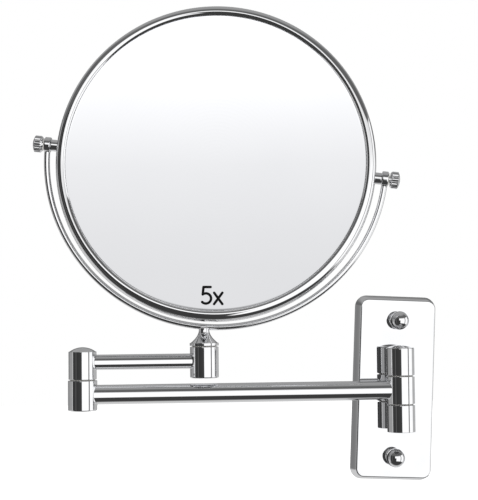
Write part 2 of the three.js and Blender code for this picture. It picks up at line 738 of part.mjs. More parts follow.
function fork() {
  const springStart = HEAD_LEDGE - FIT - SPRING_WASHER_THICK;
  const nutStart = springStart - FIT - NUT_HEIGHT;
  const leaning = new THREE.Group();
  leaning.position.z = ROD_Z;
  leaning.rotation.y = FORK_LEAN;
  leaning.add(node('fork_rod', 'chrome', forkRod()), mirror(), ...tiltKnobs());
  const group = placed([UPPER_ARM - LOWER_ARM, HINGE_Y, 0], [
    node('swivel_stem', 'chrome', swivelStem()),
    node('swivel_spring_washer', 'steel', springWasher(springStart)),
    node('swivel_nut', 'steel', lockNut(nutStart)),
    leaning,
  ]);
  group.rotation.z = -HEAD_YAW;
  return group;
}

// ---------------------------------------------------------------- mirror

// A turning about the mirror's own axis, its height running towards the magnifying side
function faced(geometry) {
  return alongMinusY(geometry);
}

function hoop() {
  const [outerSteps, innerSteps] = [5, 3];
  const outer = arc(HOOP_CENTRE, 0, HOOP_BULGE, -Math.PI / 2, Math.PI / 2, outerSteps);
  const innerRadius = HOOP_BULGE - HOOP_WALL;
  const inner = arc(HOOP_CENTRE, 0, innerRadius, Math.PI / 2, -Math.PI / 2, innerSteps);
  return faced(ring([...outer, ...inner], RING_SIDES));
}

// Pressed ring with a bead outside and a narrow lip over the glass, a groove between them
function bezel() {
  const lipUnder = GLASS_FACE + GAP;
  const seat = HOOP_BULGE + GAP;
  const seatRadius = GLASS_RADIUS + GAP;
  return ring([
    [LIP_RADIUS, lipUnder],
    [seatRadius, lipUnder],
    [seatRadius, seat],
    [BEAD_OUTER_RADIUS - BEZEL_CURL, seat - BEZEL_BEVEL],
    [BEAD_OUTER_RADIUS, seat + BEZEL_BEVEL],
    [BEAD_CREST_RADIUS, BEZEL_CREST],
    [GROOVE_RADIUS, BEZEL_CREST - BEZEL_GROOVE],
    [LIP_CREST_RADIUS, BEZEL_CREST],
    [LIP_RADIUS, BEZEL_CREST - BEZEL_BEVEL],
  ], RING_SIDES);
}

const concaveDrop = (radius) => CONCAVE_SAG * (1 - (radius / GLASS_RADIUS) ** 2);

function concaveGlass() {
  const steps = 4;
  const front = [];
  const back = [];
  for (let i = 0; i <= steps; i += 1) {
    const radius = (GLASS_RADIUS * i) / steps;
    const face = GLASS_FACE - concaveDrop(radius);
    back.push([radius, face - GLASS_THICK]);
    front.unshift([radius, face]);
  }
  return faced(turned([...back, ...front], DISC_SIDES));
}

function plainGlass() {
  return faced(rod(GLASS_RADIUS, -GLASS_FACE, -GLASS_FACE + GLASS_THICK, DISC_SIDES));
}

// Foam ring that keeps the two glasses apart
function glassSpacer() {
  const outer = GLASS_RADIUS - SPACER_INSET;
  const bottom = -GLASS_FACE + GLASS_THICK + GAP;
  const top = (radius) => GLASS_FACE - GLASS_THICK - concaveDrop(radius) - GAP;
  const middle = (SPACER_INNER + outer) / 2;
  return faced(ring([
    [SPACER_INNER, bottom],
    [outer, bottom],
    [outer, top(outer)],
    [middle, top(middle) - FIT],
    [SPACER_INNER, top(SPACER_INNER)],
  ], DISC_SIDES));
}

// Threaded boss on the hoop's side, saddled to the hoop and bored for the knob's screw
function pivotBoss(side) {
  const outerEnd = EYE_START - FIT;
  const innerEnd = HOOP_CENTRE + BOSS_SADDLE;
  const boreEnd = HOOP_CENTRE + HOOP_BULGE + KNOB_SCREW_TIP - GAP;
  const profile = [
    [0, innerEnd],
    [BOSS_RADIUS, innerEnd],
    [BOSS_RADIUS, outerEnd],
    [BOSS_BORE, outerEnd],
    [BOSS_BORE, boreEnd],
    [0, boreEnd],
  ];
  const blank = turned(profile, SMALL_SIDES).rotateY((side * Math.PI) / 2);
  const sectionSides = 12;
  const section = arc(HOOP_CENTRE, 0, HOOP_BULGE + GAP, 0, 2 * Math.PI, sectionSides);
  const hoopSpace = ring(section.slice(0, -1), RING_SIDES);
  return cut(blank, faced(hoopSpace));
}

function mirror() {
  const group = placed([FORK_CENTRE_X, 0, PIVOT_Z], [
    node('hoop', 'chrome', hoop()),
    node('front_bezel', 'chrome', faced(bezel())),
    node('rear_bezel', 'chrome', faced(bezel()).rotateZ(Math.PI)),
    node('magnifying_glass', 'mirror', concaveGlass()),
    node('plain_glass', 'mirror', plainGlass()),
    node('glass_spacer', 'foam', glassSpacer()),
    node('pivot_boss_left', 'chrome', pivotBoss(-1)),
    node('pivot_boss_right', 'chrome', pivotBoss(1)),
  ]);
  group.rotation.x = MIRROR_TILT;
  return group;
}

// ---------------------------------------------------------------- tilt knobs

// A prism with a shallow flute at every second corner
function flutedPrism(bottom, top) {
  const corners = [];
  const stepsPerFlute = 2;
  const count = KNOB_FLUTES * stepsPerFlute;
  for (let i = 0; i < count; i += 1) {
    const angle = (2 * Math.PI * i) / count;
    const depth = i % stepsPerFlute === 0 ? KNOB_FLUTE_DEPTH : 0;
    const radius = KNOB_RADIUS + KNOB_FLUTE_ROUNDING - depth;
    corners.push(new THREE.Vector2(radius * Math.cos(angle), radius * Math.sin(angle)));
  }
  const prism = new THREE.ExtrudeGeometry(new THREE.Shape(corners), {
    depth: top - bottom,
    bevelEnabled: false,
  });
  return prism.translate(0, 0, bottom);
}

// Fluted head with a chamfer behind and a domed end, on a collar and a screw
function tiltKnob(side) {
  const rim = KNOB_END - KNOB_CROWN;
  const headBlank = turned([
    [0, KNOB_START],
    [KNOB_RADIUS - KNOB_CHAMFER, KNOB_START],
    [KNOB_RADIUS, KNOB_START + KNOB_CHAMFER],
    [KNOB_RADIUS, rim],
    ...dome(KNOB_RADIUS, rim, KNOB_CROWN, DOME_STEPS).slice(1),
  ], BARREL_SIDES);
  const head = common(headBlank, flutedPrism(KNOB_START - PAST, KNOB_END + PAST));
  const collarStart = EYE_START + EYE_THICK + SEAM;
  const screwTip = HOOP_CENTRE + HOOP_BULGE + KNOB_SCREW_TIP;
  const collar = rod(KNOB_COLLAR_RADIUS, collarStart, KNOB_START + PAST, SMALL_SIDES);
  const screw = rod(KNOB_SCREW_RADIUS, screwTip, KNOB_START + PAST, SMALL_SIDES);
  return join(head, collar, screw).rotateY((side * Math.PI) / 2);
}

function knobWasher(side) {
  const start = EYE_START + EYE_THICK + FIT;
  const end = start + WASHER_THICK;
  const washer = sleeve(KNOB_SCREW_RADIUS + FIT, KNOB_WASHER_RADIUS, start, end, SMALL_SIDES);
  return washer.rotateY((side * Math.PI) / 2);
}

function tiltKnobs() {
  return [[-1, 'left'], [1, 'right']].map(([side, label]) => placed([FORK_CENTRE_X, 0, PIVOT_Z], [
    node(`tilt_knob_${label}`, 'chrome', tiltKnob(side)),
    node(`knob_washer_${label}`, 'nylon', knobWasher(side)),
  ]));
}

// ---------------------------------------------------------------- assembly

const group = new THREE.Group();
group.add(wallPlate(), wallHinge(), lowerArm(), upperArm(), fork());

export default group;
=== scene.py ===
"""Extendable shaving mirror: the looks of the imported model.

A polished chrome mirror in a fork on two swing arms, hung on a cover plate. Sizes are in millimetres
and are scaled when a mesh is made. The joints of the frame say where each axis is.
"""

import json
from math import acos, asin, atan2, cos, degrees, pi, radians, sin, sqrt

import bmesh
import bpy
from mathutils import Matrix, Vector


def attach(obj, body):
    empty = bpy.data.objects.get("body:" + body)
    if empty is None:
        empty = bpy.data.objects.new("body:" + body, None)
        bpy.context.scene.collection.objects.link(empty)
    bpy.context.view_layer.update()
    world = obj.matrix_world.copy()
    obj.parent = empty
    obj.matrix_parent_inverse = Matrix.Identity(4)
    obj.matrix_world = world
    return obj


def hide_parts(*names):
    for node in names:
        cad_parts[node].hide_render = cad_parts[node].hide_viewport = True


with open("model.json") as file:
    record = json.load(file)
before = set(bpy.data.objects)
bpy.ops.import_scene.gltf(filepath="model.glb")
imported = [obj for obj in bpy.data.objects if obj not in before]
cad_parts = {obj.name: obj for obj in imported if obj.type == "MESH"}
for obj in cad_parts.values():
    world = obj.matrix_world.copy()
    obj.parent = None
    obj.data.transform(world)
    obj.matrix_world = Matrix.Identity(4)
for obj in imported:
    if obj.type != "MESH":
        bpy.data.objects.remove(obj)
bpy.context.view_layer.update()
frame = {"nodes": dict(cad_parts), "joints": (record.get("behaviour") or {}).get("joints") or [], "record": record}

MM = 0.001
JOINT = {joint["name"]: joint for joint in frame["joints"]}
SLOT_OF = {part["node"]: part["material_slot"] for part in frame["record"]["subparts"]}


def joint_place(name):
    return Vector(JOINT[name]["pos_m"]) / MM


# -------- sizes
# A round piece is given by its radius.

SOFT = 0.35  # round on the barrels' worked edges
SEAM = 0.7  # between two pieces that turn on each other
FIT = 0.15  # play between a plug and its hole
PLATE_WIDTH, PLATE_HEIGHT, PLATE_CORNER = 51.9, 121.6, 5.7
PLATE_DEPTH, PLATE_DRAFT, PLATE_WALL = 10.5, 2.2, 1.2
PLATE_ROUND = 1.1
PLATE_LEAN = radians(2.6)
STUD_PITCH = 93
NUT_BALL, NUT_CENTRE, NUT_NECK, NUT_CHAMFER = 6.4, 7, 4.6, 0.3
NUT_WASHER, NUT_WASHER_BORE, NUT_WASHER_FOOT, NUT_WASHER_TOP = 5.2, 2.65, 0.15, 0.55

BARREL = 9.5
KNUCKLE_HALF, HINGE_HALF = 9.2, 28
PIN_BORE, BUSH_BORE = 4.15, 5.0
RECESS, RECESS_DEPTH = 6.8, 2.2
HINGE_CROWN, HINGE_DOME, HINGE_CAP_DEPTH, HINGE_PLUG = 9.3, 2.2, 1.9, 1.75
NECK_HALF_WIDTH, NECK_HALF_HEIGHT = 4.5, 25
NECK_FRONT, NECK_BACK = 9.9, 16.85
PAD_FRONT, PAD_LAP, NECK_SOFT = 5.2, 2, 0.5

LOWER_TUBE, UPPER_TUBE, TUBE_WALL = 6.35, 5, 1
TUBE_GAP = 0.08  # between a tube's shaped end and its barrel
UPPER_TUBE_Z = 21.2
SPIGOT_START, SPIGOT_REACH = 7.5, 20
ELBOW_LOWER, ELBOW_UPPER = 9.6, 9.2
ELBOW_BOTTOM, ELBOW_SEAM, ELBOW_TOP = -10.5, 9.7, 27.9
ELBOW_LOWER_LEDGE, ELBOW_UPPER_LEDGE = -4.7, 20
ELBOW_DOME = 3.3
CAVITY, CAVITY_PLUG = 7, 1.5
FOOT_IN, FOOT_UP = 0.5, 0.6  # chamfer at a barrel's foot
HEAD_BOTTOM, HEAD_SEAM, HEAD_LEDGE = 10, 30.9, 19

SHANK, SHANK_SHOULDER, SHANK_FOOT, SHANK_CHAMFER = 2.9, 4, 13.4, 0.3
FLANGE, FLANGE_THICK, FLANGE_STEP = 9.65, 1.9, 0.6
STEM_TOP, SADDLE = 3.5, 2.6
ROD_Z, ROD = 43.8, 2
FORK_HALF_WIDTH, FORK_DEPTH = 113.2, 110
EYE, EYE_THICK, EYE_BORE, EYE_SOFT = 5.2, 4.2, 2.2, 0.7
ROD_END = radians(1.4)
MIRROR_TILT = radians(-6)

HOOP_CENTRE, HOOP_BULGE, HOOP_WALL = 102.5, 4.5, 1.2
CREST, CREST_HEIGHT = 102.4, 7.3
SHOULDER_ROLL, LIP_ROLL, OUTER_ROLL = 2.45, 6, 4.4
SHOULDER_TURN, LIP_TURN, RIM_TURN = radians(41), radians(57), radians(62)
BEZEL_UNDERSIDE = [(105.2, 4.15), (103.6, 4.65), (101.75, 4.8), (101.7, 5.5)]
GLASS, GLASS_THICK, GLASS_FACE, GLASS_SAG, GLASS_BEVEL = 101.4, 2, 5.2, 5.5, 0.5
BOSS, BOSS_BORE, BOSS_FOOT = 3.9, 2.1, 3.2
BOSS_FLOOR = HOOP_CENTRE + HOOP_BULGE + 1  # inner end of the bore
KNOB, KNOB_START, KNOB_END = 5.6, 116.6, 123.2
KNOB_CHAMFER, KNOB_CROWN = 1.1, 1.5
COLLAR, SCREW, SCREW_CHAMFER, SCREW_PLAY = 2.7, 1.9, 0.3, 0.3
FLUTES, FLUTE_DEPTH, FLUTE_RUN_OUT = 18, 0.4, 1.0
FLUTE_NARROW = 2.2  # the higher, the narrower the grooves
GRIP_START, GRIP_END = KNOB_START + 0.2, KNOB_END - 0.9
WASHER, KNOB_WASHER, KNOB_WASHER_BORE = 8.3, 4.2, 2.05

WALL_AXIS = joint_place("wall_swing")
ELBOW_AXIS = joint_place("elbow_swing")
HEAD_AXIS = joint_place("head_swivel")
PIVOT = joint_place("mirror_tilt")


def upright_at(axis):
    return Matrix.Translation(Vector((axis.x, axis.y, 0)))


def fork_turn():
    """The fork's own directions: +X along the pivots, +Y towards the wall, +Z up through its middle."""
    along = Vector(JOINT["mirror_tilt"]["axis"]).normalized()
    back = Vector((0, 0, 1)).cross(along).normalized()
    turn = Matrix((along, back, along.cross(back))).transposed()
    return turn.to_4x4()


AT_PLATE = Matrix.Rotation(PLATE_LEAN, 4, "Y")
AT_HINGE = upright_at(WALL_AXIS)
AT_ELBOW = upright_at(ELBOW_AXIS)
AT_HEAD = upright_at(HEAD_AXIS)
AT_PIVOTS = Matrix.Translation(PIVOT) @ fork_turn()
AT_MIRROR = AT_PIVOTS @ Matrix.Rotation(MIRROR_TILT, 4, "X")
FACING = Matrix.Rotation(pi / 2, 4, "X")  # a turning's height runs towards the room
BACKING = Matrix.Rotation(-pi / 2, 4, "X")  # and here towards the wall


def along_pivots(side):
    """A turning's height runs along the pivots: 1 to the right, -1 to the left."""
    return Matrix.Rotation(side * pi / 2, 4, "Y")


# -------- finishes

CHROME_SHADE, CHROME_LIGHT = (0.90, 0.905, 0.92), (0.95, 0.952, 0.96)
ZINC_SHADE, ZINC_GREY, ZINC_WARM = (0.48, 0.49, 0.50), (0.62, 0.63, 0.64), (0.70, 0.69, 0.66)
NYLON_SHADE, NYLON_LIGHT = (0.70, 0.69, 0.65), (0.84, 0.83, 0.79)
SILVER_COOL, SILVER_CLEAR = (0.905, 0.911, 0.935), (0.92, 0.926, 0.948)
FOAM_PORE, FOAM_WALL = (0.010, 0.010, 0.011), (0.045, 0.045, 0.048)
INK_DEEP, INK_WORN = (0.002, 0.002, 0.002), (0.006, 0.006, 0.007)
PATTERN_LOW, PATTERN_HIGH = 0.3, 0.7  # most of a pattern lies between these


def finish_tree(name):
    made = bpy.data.materials.new(name)
    made.use_nodes = True
    tree = made.node_tree
    shader = tree.nodes["Principled BSDF"]
    return made, tree, shader


def add(tree, kind, **settings):
    """A new node. Each setting is a property of the node, or else the value of an input."""
    node = tree.nodes.new(kind)
    for key, value in settings.items():
        if hasattr(node, key):
            setattr(node, key, value)
        else:
            node.inputs[key.replace("_", " ")].default_value = value
    return node


def link(source, output, target, socket):
    target.id_data.links.new(source.outputs[output], target.inputs[socket])


def object_pattern(tree, stretch=(1, 1, 1)):
    """Object coordinates, stretched along each axis."""
    where = add(tree, "ShaderNodeTexCoord")
    mapping = add(tree, "ShaderNodeMapping", Scale=stretch)
    link(where, "Object", mapping, "Vector")
    return mapping.outputs["Vector"]


def noise(tree, vector, scale, detail, roughness=0.5):
    made = add(tree, "ShaderNodeTexNoise", Scale=scale, Detail=detail, Roughness=roughness)
    tree.links.new(vector, made.inputs["Vector"])
    return made.outputs["Fac"]


def ramp_between(tree, factor, stops):
    ramp = add(tree, "ShaderNodeValToRGB")
    elements = ramp.color_ramp.elements
    while len(elements) < len(stops):
        elements.new(0.5)
    for element, (at, colour) in zip(elements, stops):
        element.position = at
        element.color = (*colour, 1)
    tree.links.new(factor, ramp.inputs["Fac"])
    return ramp.outputs["Color"]


def map_range(tree, value, start, end, low, high, kind="LINEAR"):
    """The value's way from start to end, as a number from low to high."""
    node = add(tree, "ShaderNodeMapRange", interpolation_type=kind)
    for socket, number in (("From Min", start), ("From Max", end), ("To Min", low), ("To Max", high)):
        node.inputs[socket].default_value = number
    tree.links.new(value, node.inputs["Value"])
    return node.outputs["Result"]


def coloured(tree, shader, pattern, *stops):
    """Colours the surface by a pattern, along a ramp of (place, colour) stops."""
    tree.links.new(ramp_between(tree, pattern, stops), shader.inputs["Base Color"])


def roughened(tree, shader, pattern, low, high):
    roughness = map_range(tree, pattern, PATTERN_LOW, PATTERN_HIGH, low, high)
    tree.links.new(roughness, shader.inputs["Roughness"])


def bump(tree, shader, height, strength, distance):
    made = add(tree, "ShaderNodeBump", Strength=strength, Distance=distance)
    tree.links.new(height, made.inputs["Height"])
    link(made, "Normal", shader, "Normal")


def plated(name, stretch, polish, haze, ripple):
    """Chrome plate: a bright metal whose haze and faint ripple follow how the piece was polished."""
    made, tree, shader = finish_tree(name)
    shader.inputs["Metallic"].default_value = 1
    vector = object_pattern(tree, stretch)
    broad = noise(tree, vector, scale=40, detail=3)
    fine = noise(tree, vector, scale=420, detail=5, roughness=0.6)
    coloured(tree, shader, broad, (0.35, CHROME_SHADE), (0.65, CHROME_LIGHT))
    roughened(tree, shader, fine, polish, haze)
    bump(tree, shader, broad, strength=ripple, distance=0.00004)
    return made


def zinc_plated():
    """Bright zinc on steel, with the spangle of its crystals."""
    made, tree, shader = finish_tree("zinc_plated_steel")
    shader.inputs["Metallic"].default_value = 1
    crystals = noise(tree, object_pattern(tree), scale=700, detail=4, roughness=0.6)
    coloured(tree, shader, crystals, (0.3, ZINC_SHADE), (0.55, ZINC_GREY), (0.75, ZINC_WARM))
    roughened(tree, shader, crystals, 0.28, 0.46)
    bump(tree, shader, crystals, strength=0.25, distance=0.00003)
    return made


def natural_nylon():
    made, tree, shader = finish_tree("natural_nylon")
    vector = object_pattern(tree)
    clouds = noise(tree, vector, scale=260, detail=4)
    coloured(tree, shader, clouds, (0.3, NYLON_SHADE), (0.7, NYLON_LIGHT))
    roughened(tree, shader, clouds, 0.42, 0.58)
    bump(tree, shader, noise(tree, vector, scale=2400, detail=3), strength=0.2, distance=0.00002)
    return made


def silvered_glass():
    """Silvering seen through clear glass, with the faint cool tint and waviness of float glass."""
    made, tree, shader = finish_tree("silvered_glass")
    shader.inputs["Metallic"].default_value = 1
    shader.inputs["Coat Weight"].default_value = 0.4
    shader.inputs["Coat Roughness"].default_value = 0.01
    vector = object_pattern(tree)
    cloud = noise(tree, vector, scale=14, detail=2)
    dust = noise(tree, vector, scale=1500, detail=6, roughness=0.7)
    coloured(tree, shader, cloud, (0.3, SILVER_COOL), (0.7, SILVER_CLEAR))
    roughened(tree, shader, dust, 0.004, 0.018)
    bump(tree, shader, cloud, strength=0.02, distance=0.00002)
    return made


def black_foam():
    made, tree, shader = finish_tree("black_foam")
    cells = add(tree, "ShaderNodeTexVoronoi", Scale=900)
    tree.links.new(object_pattern(tree), cells.inputs["Vector"])
    depth = cells.outputs["Distance"]
    coloured(tree, shader, depth, (0.1, FOAM_PORE), (0.7, FOAM_WALL))
    roughened(tree, shader, depth, 0.75, 0.95)
    bump(tree, shader, depth, strength=0.6, distance=0.0002)
    return made


def printed_ink():
    made, tree, shader = finish_tree("printed_ink")
    grain = noise(tree, object_pattern(tree), scale=3000, detail=4, roughness=0.6)
    coloured(tree, shader, grain, (0.3, INK_DEEP), (0.7, INK_WORN))
    roughened(tree, shader, grain, 0.35, 0.5)
    shader.inputs["Specular IOR Level"].default_value = 0.15
    return made


CHROME = plated("polished_chrome", (1, 1, 1), polish=0.012, haze=0.035, ripple=0.02)
TUBE_CHROME = plated("drawn_tube_chrome", (0.15, 2, 2), polish=0.015, haze=0.03, ripple=0.01)
TURNED_CHROME = plated("turned_barrel_chrome", (1, 1, 5), polish=0.014, haze=0.04, ripple=0.04)
NYLON = natural_nylon()
SILVERING = silvered_glass()
INK = printed_ink()
FINISH_OF_SLOT = {
    "polished_chrome": CHROME,
    "zinc_steel": zinc_plated(),
    "nylon": NYLON,
    "mirror_glass": SILVERING,
    "spacer_foam": black_foam(),
}


# -------- mesh making

ON_AXIS = 1e-6  # a radius below this is on the axis
SAME_POINT = 0.000002  # metres
STRAIGHT = radians(155)  # a corner that is wider than this is left alone
MOST_CUT = 0.45  # of a side, taken up by the round at one of its ends
BRACE = 0.25  # from a corner to the point that braces it


def linked(name, data):
    made = bpy.data.objects.new(name, data)
    bpy.context.scene.collection.objects.link(made)
    return made


def new_piece(name, points, faces, place, finish, crease=40):
    """A closed piece in metres, its place in its mesh, smooth except across edges sharper than crease."""
    mesh = bpy.data.meshes.new(name)
    mesh.from_pydata([place @ Vector(point) * MM for point in points], [], faces)
    tidy_mesh(mesh, crease)
    mesh.materials.append(finish)
    return linked(name, mesh)


def tidy_mesh(mesh, crease):
    """Merges doubled points, turns the faces outwards and shades them smooth up to the crease."""
    work = bmesh.new()
    work.from_mesh(mesh)
    bmesh.ops.remove_doubles(work, verts=work.verts, dist=SAME_POINT)
    bmesh.ops.recalc_face_normals(work, faces=work.faces)
    work.to_mesh(mesh)
    work.free()
    for face in mesh.polygons:
        face.use_smooth = True
    mesh.set_sharp_from_angle(angle=radians(crease))


def arc(centre, height, radius, start, end, steps):
    turns = [start + (end - start) * i / steps for i in range(steps + 1)]
    return [(centre + radius * cos(a), height + radius * sin(a)) for a in turns]


def softened(outline, radius, steps=4, closed=False, sharp=()):
    """The outline with its corners rounded off by about the radius.

    The ends of an open outline, the corners in sharp and the nearly straight ones stay as they are.
    """
    count = len(outline)
    made = []
    for i, corner in enumerate(outline):
        if i in sharp or (not closed and i in (0, count - 1)):
            made.append(corner)
            continue
        here = Vector(corner)
        before = Vector(outline[i - 1]) - here
        after = Vector(outline[(i + 1) % count]) - here
        if before.angle(after) > STRAIGHT:
            made.append(corner)
            continue
        size = min(radius, before.length * MOST_CUT, after.length * MOST_CUT)
        start, end = here + before.normalized() * size, here + after.normalized() * size
        for step in range(steps + 1):
            t = step / steps
            point = start * (1 - t) ** 2 + here * 2 * t * (1 - t) + end * t**2
            made.append(tuple(point))
    return made


def braced(outline, closed):
    """The outline with a point near each end of its long sides, which keeps a side's shading even."""
    made = []
    for i, corner in enumerate(outline):
        made.append(corner)
        if i == len(outline) - 1 and not closed:
            break
        here, there = Vector(corner), Vector(outline[(i + 1) % len(outline)])
        side = there - here
        if side.length > 5 * BRACE:
            near = side.normalized() * BRACE
            made += [tuple(here + near), tuple(there - near)]
    return made


def turned(name, outline, place, finish, sides=96, crease=40):
    """Turns an outline of (radius, height) about +Z. It runs from axis to axis or closes on itself."""
    on_axis = outline[0][0] < ON_AXIS
    outline = braced(outline, not on_axis)
    points, rows = [], []
    for radius, height in outline:
        if radius < ON_AXIS:
            rows.append([len(points)] * sides)
            points.append((0, 0, height))
            continue
        rows.append(list(range(len(points), len(points) + sides)))
        for i in range(sides):
            a = 2 * pi * i / sides
            points.append((radius * cos(a), radius * sin(a), height))
    faces = []
    pairs = list(zip(rows, rows[1:]))
    if not on_axis:
        pairs.append((rows[-1], rows[0]))
    for low, high in pairs:
        for i in range(sides):
            j = (i + 1) % sides
            face = list(dict.fromkeys((low[i], low[j], high[j], high[i])))
            if len(face) > 2:
                faces.append(face)
    return new_piece(name, points, faces, place, finish, crease)


def lofted(loops, close_start, close_end):
    """Points and faces of a skin over loops of equal count."""
    count = len(loops[0])
    points = [point for loop in loops for point in loop]
    faces = []
    for k in range(len(loops) - 1):
        for i in range(count):
            j = (i + 1) % count
            faces.append((k * count + i, k * count + j, (k + 1) * count + j, (k + 1) * count + i))
    if close_start:
        faces.append(tuple(range(count))[::-1])
    if close_end:
        faces.append(tuple(range(len(points) - count, len(points))))
    return points, faces


def modified(piece, crease=40):
    """The piece's modifiers made into its mesh."""
    depsgraph = bpy.context.evaluated_depsgraph_get()
    mesh = bpy.data.meshes.new_from_object(piece.evaluated_get(depsgraph))
    piece.modifiers.clear()
    old = piece.data
    piece.data = mesh
    mesh.name = piece.name
    bpy.data.meshes.remove(old)
    tidy_mesh(mesh, crease)
    return piece


def joined(piece, others, crease):
    """The piece with the others welded into it."""
    for other in others:
        step = piece.modifiers.new(other.name, "BOOLEAN")
        step.operation = "UNION"
        step.solver = "EXACT"
        step.object = other
    modified(piece, crease)
    for other in others:
        bpy.data.objects.remove(other)
    return piece


def place_piece(piece, body, slot, *nodes):
    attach(piece, body)
    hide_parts(*nodes)
    return piece


# -------- wall plate


def rounded_rectangle(width, height, corner, depth, steps=10):
    """A loop that is parallel to the wall and stands off it by the depth."""
    loop = []
    for turn, (sx, sz) in enumerate(((1, 1), (-1, 1), (-1, -1), (1, -1))):
        cx, cz = sx * (width / 2 - corner), sz * (height / 2 - corner)
        for i in range(steps + 1):
            a = (turn + i / steps) * pi / 2
            loop.append((cx + corner * cos(a), -depth, cz + corner * sin(a)))
    return loop


def plate_loop(grow, depth):
    """The plate's outline, grown on every side."""
    corner = PLATE_CORNER + grow
    return rounded_rectangle(PLATE_WIDTH + 2 * grow, PLATE_HEIGHT + 2 * grow, corner, depth)


def cover_plate():
    """Open-backed pressing: drafted sides, a soft front edge and a flat face."""
    slope = PLATE_DRAFT / PLATE_DEPTH
    start = asin(slope)
    brace, round_steps = 0.5, 6
    levels = [(PLATE_DRAFT, 0), (PLATE_DRAFT - slope * brace, brace)]
    levels.append((slope * 2 * PLATE_ROUND, PLATE_DEPTH - 2 * PLATE_ROUND))
    for i in range(round_steps + 1):
        a = start + (pi / 2 - start) * i / round_steps
        levels.append((PLATE_ROUND * (cos(a) - 1), PLATE_DEPTH - PLATE_ROUND * (1 - sin(a))))
    levels.append((-PLATE_ROUND - 2 * brace, PLATE_DEPTH))
    top = PLATE_DEPTH - PLATE_WALL
    inside = [(-PLATE_WALL - 3 * brace, top), (-PLATE_WALL - brace, top), (-PLATE_WALL, top - brace)]
    inside.append((PLATE_DRAFT - PLATE_WALL, 0))
    outer_loops = [plate_loop(grow, depth) for grow, depth in levels]
    inner_loops = [plate_loop(grow, depth) for grow, depth in inside]
    outer_points, outer_faces = lofted(outer_loops, False, True)
    inner_points, inner_faces = lofted(inner_loops, True, False)
    shift = len(outer_points)
    count = len(outer_loops[0])
    faces = outer_faces + [tuple(index + shift for index in face) for face in inner_faces]
    last = shift + len(inner_points) - count
    for i in range(count):
        j = (i + 1) % count
        faces.append((i, j, last + j, last + i))
    piece = new_piece("plate_cover", outer_points + inner_points, faces, AT_PLATE, CHROME, crease=30)
    return place_piece(piece, "wall_mount", "polished_chrome", "cover_plate")


def ring_section(bore, radius, foot, top):
    """The section of a washer or an eye, between two heights."""
    return [(bore, foot), (radius, foot), (radius, top), (bore, top)]


def dome_nuts():
    """Ball nuts on short necks, each on its washer."""
    ball = arc(0, NUT_CENTRE, NUT_BALL, -acos(NUT_NECK / NUT_BALL), pi / 2, steps=28)
    ball[-1] = (0, NUT_CENTRE + NUT_BALL)
    neck = [(0, SEAM), (NUT_NECK - NUT_CHAMFER, SEAM), (NUT_NECK, SEAM + NUT_CHAMFER)]
    section = ring_section(NUT_WASHER_BORE, NUT_WASHER, NUT_WASHER_FOOT, NUT_WASHER_TOP)
    washer = softened(section, 0.1, steps=3, closed=True)
    for label, side in (("upper", 1), ("lower", -1)):
        place = AT_PLATE @ Matrix.Translation((0, -PLATE_DEPTH, side * STUD_PITCH / 2)) @ FACING
        nut = turned(f"ball_nut_{label}", neck + ball, place, TURNED_CHROME, sides=72, crease=50)
        place_piece(nut, "wall_mount", "polished_chrome", f"dome_nut_{label}")
        ring = turned(f"nut_seat_{label}", washer, place, NYLON, sides=48)
        place_piece(ring, "wall_mount", "nylon", f"nut_washer_{label}")


# -------- hinge on the plate


def domed_cap(name, rim, seat, rise, plug, depth, place, body, node):
    """A crowned cap that sits flush on a barrel, with a plug below it and a soft shoulder."""
    base = seat + 0.03
    sphere = (rim**2 + rise**2) / (2 * rise)
    crown = arc(0, seat + rise - sphere, sphere, asin((sphere - rise) / sphere), pi / 2, steps=20)
    crown[-1] = (0, seat + rise)
    rim_height, shoulder_soft = 0.35, 1.2
    shoulder = [(rim, base), (rim, base + rim_height), crown[2], crown[4]]
    profile = [(0, seat - depth), (plug, seat - depth), (plug, base)]
    profile += [*softened(shoulder, shoulder_soft, steps=8), *crown[5:]]
    piece = turned(name, profile, place, TURNED_CHROME, crease=50)
    return place_piece(piece, body, "polished_chrome", node)


def knuckle_outline(bottom, top, bore, recess_at_top):
    """Outline of a bored outer knuckle, recessed at its outer end for the cap or the plug."""
    if recess_at_top:
        ledge = top - RECESS_DEPTH
        recess = [(BARREL, top), (RECESS, top), (RECESS, ledge), (bore, ledge)]
        return [(bore, bottom), (BARREL, bottom), *recess]
    ledge = bottom + RECESS_DEPTH
    recess = [(bore, ledge), (RECESS, ledge), (RECESS, bottom), (BARREL, bottom)]
    return [(bore, top), *recess, (BARREL, top)]


def soft_block(name, low, high, soft, place, finish):
    """A block with its edges rounded."""
    work = bmesh.new()
    bmesh.ops.create_cube(work, size=1)
    for vertex in work.verts:
        for axis in range(3):
            vertex.co[axis] = high[axis] if vertex.co[axis] > 0 else low[axis]
    edges = list(work.edges)
    bmesh.ops.bevel(work, geom=edges, offset=soft, segments=4, affect="EDGES", profile=0.5)
    points = [tuple(vertex.co) for vertex in work.verts]
    faces = [tuple(vertex.index for vertex in face.verts) for face in work.faces]
    work.free()
    return new_piece(name, points, faces, place, finish, crease=30)


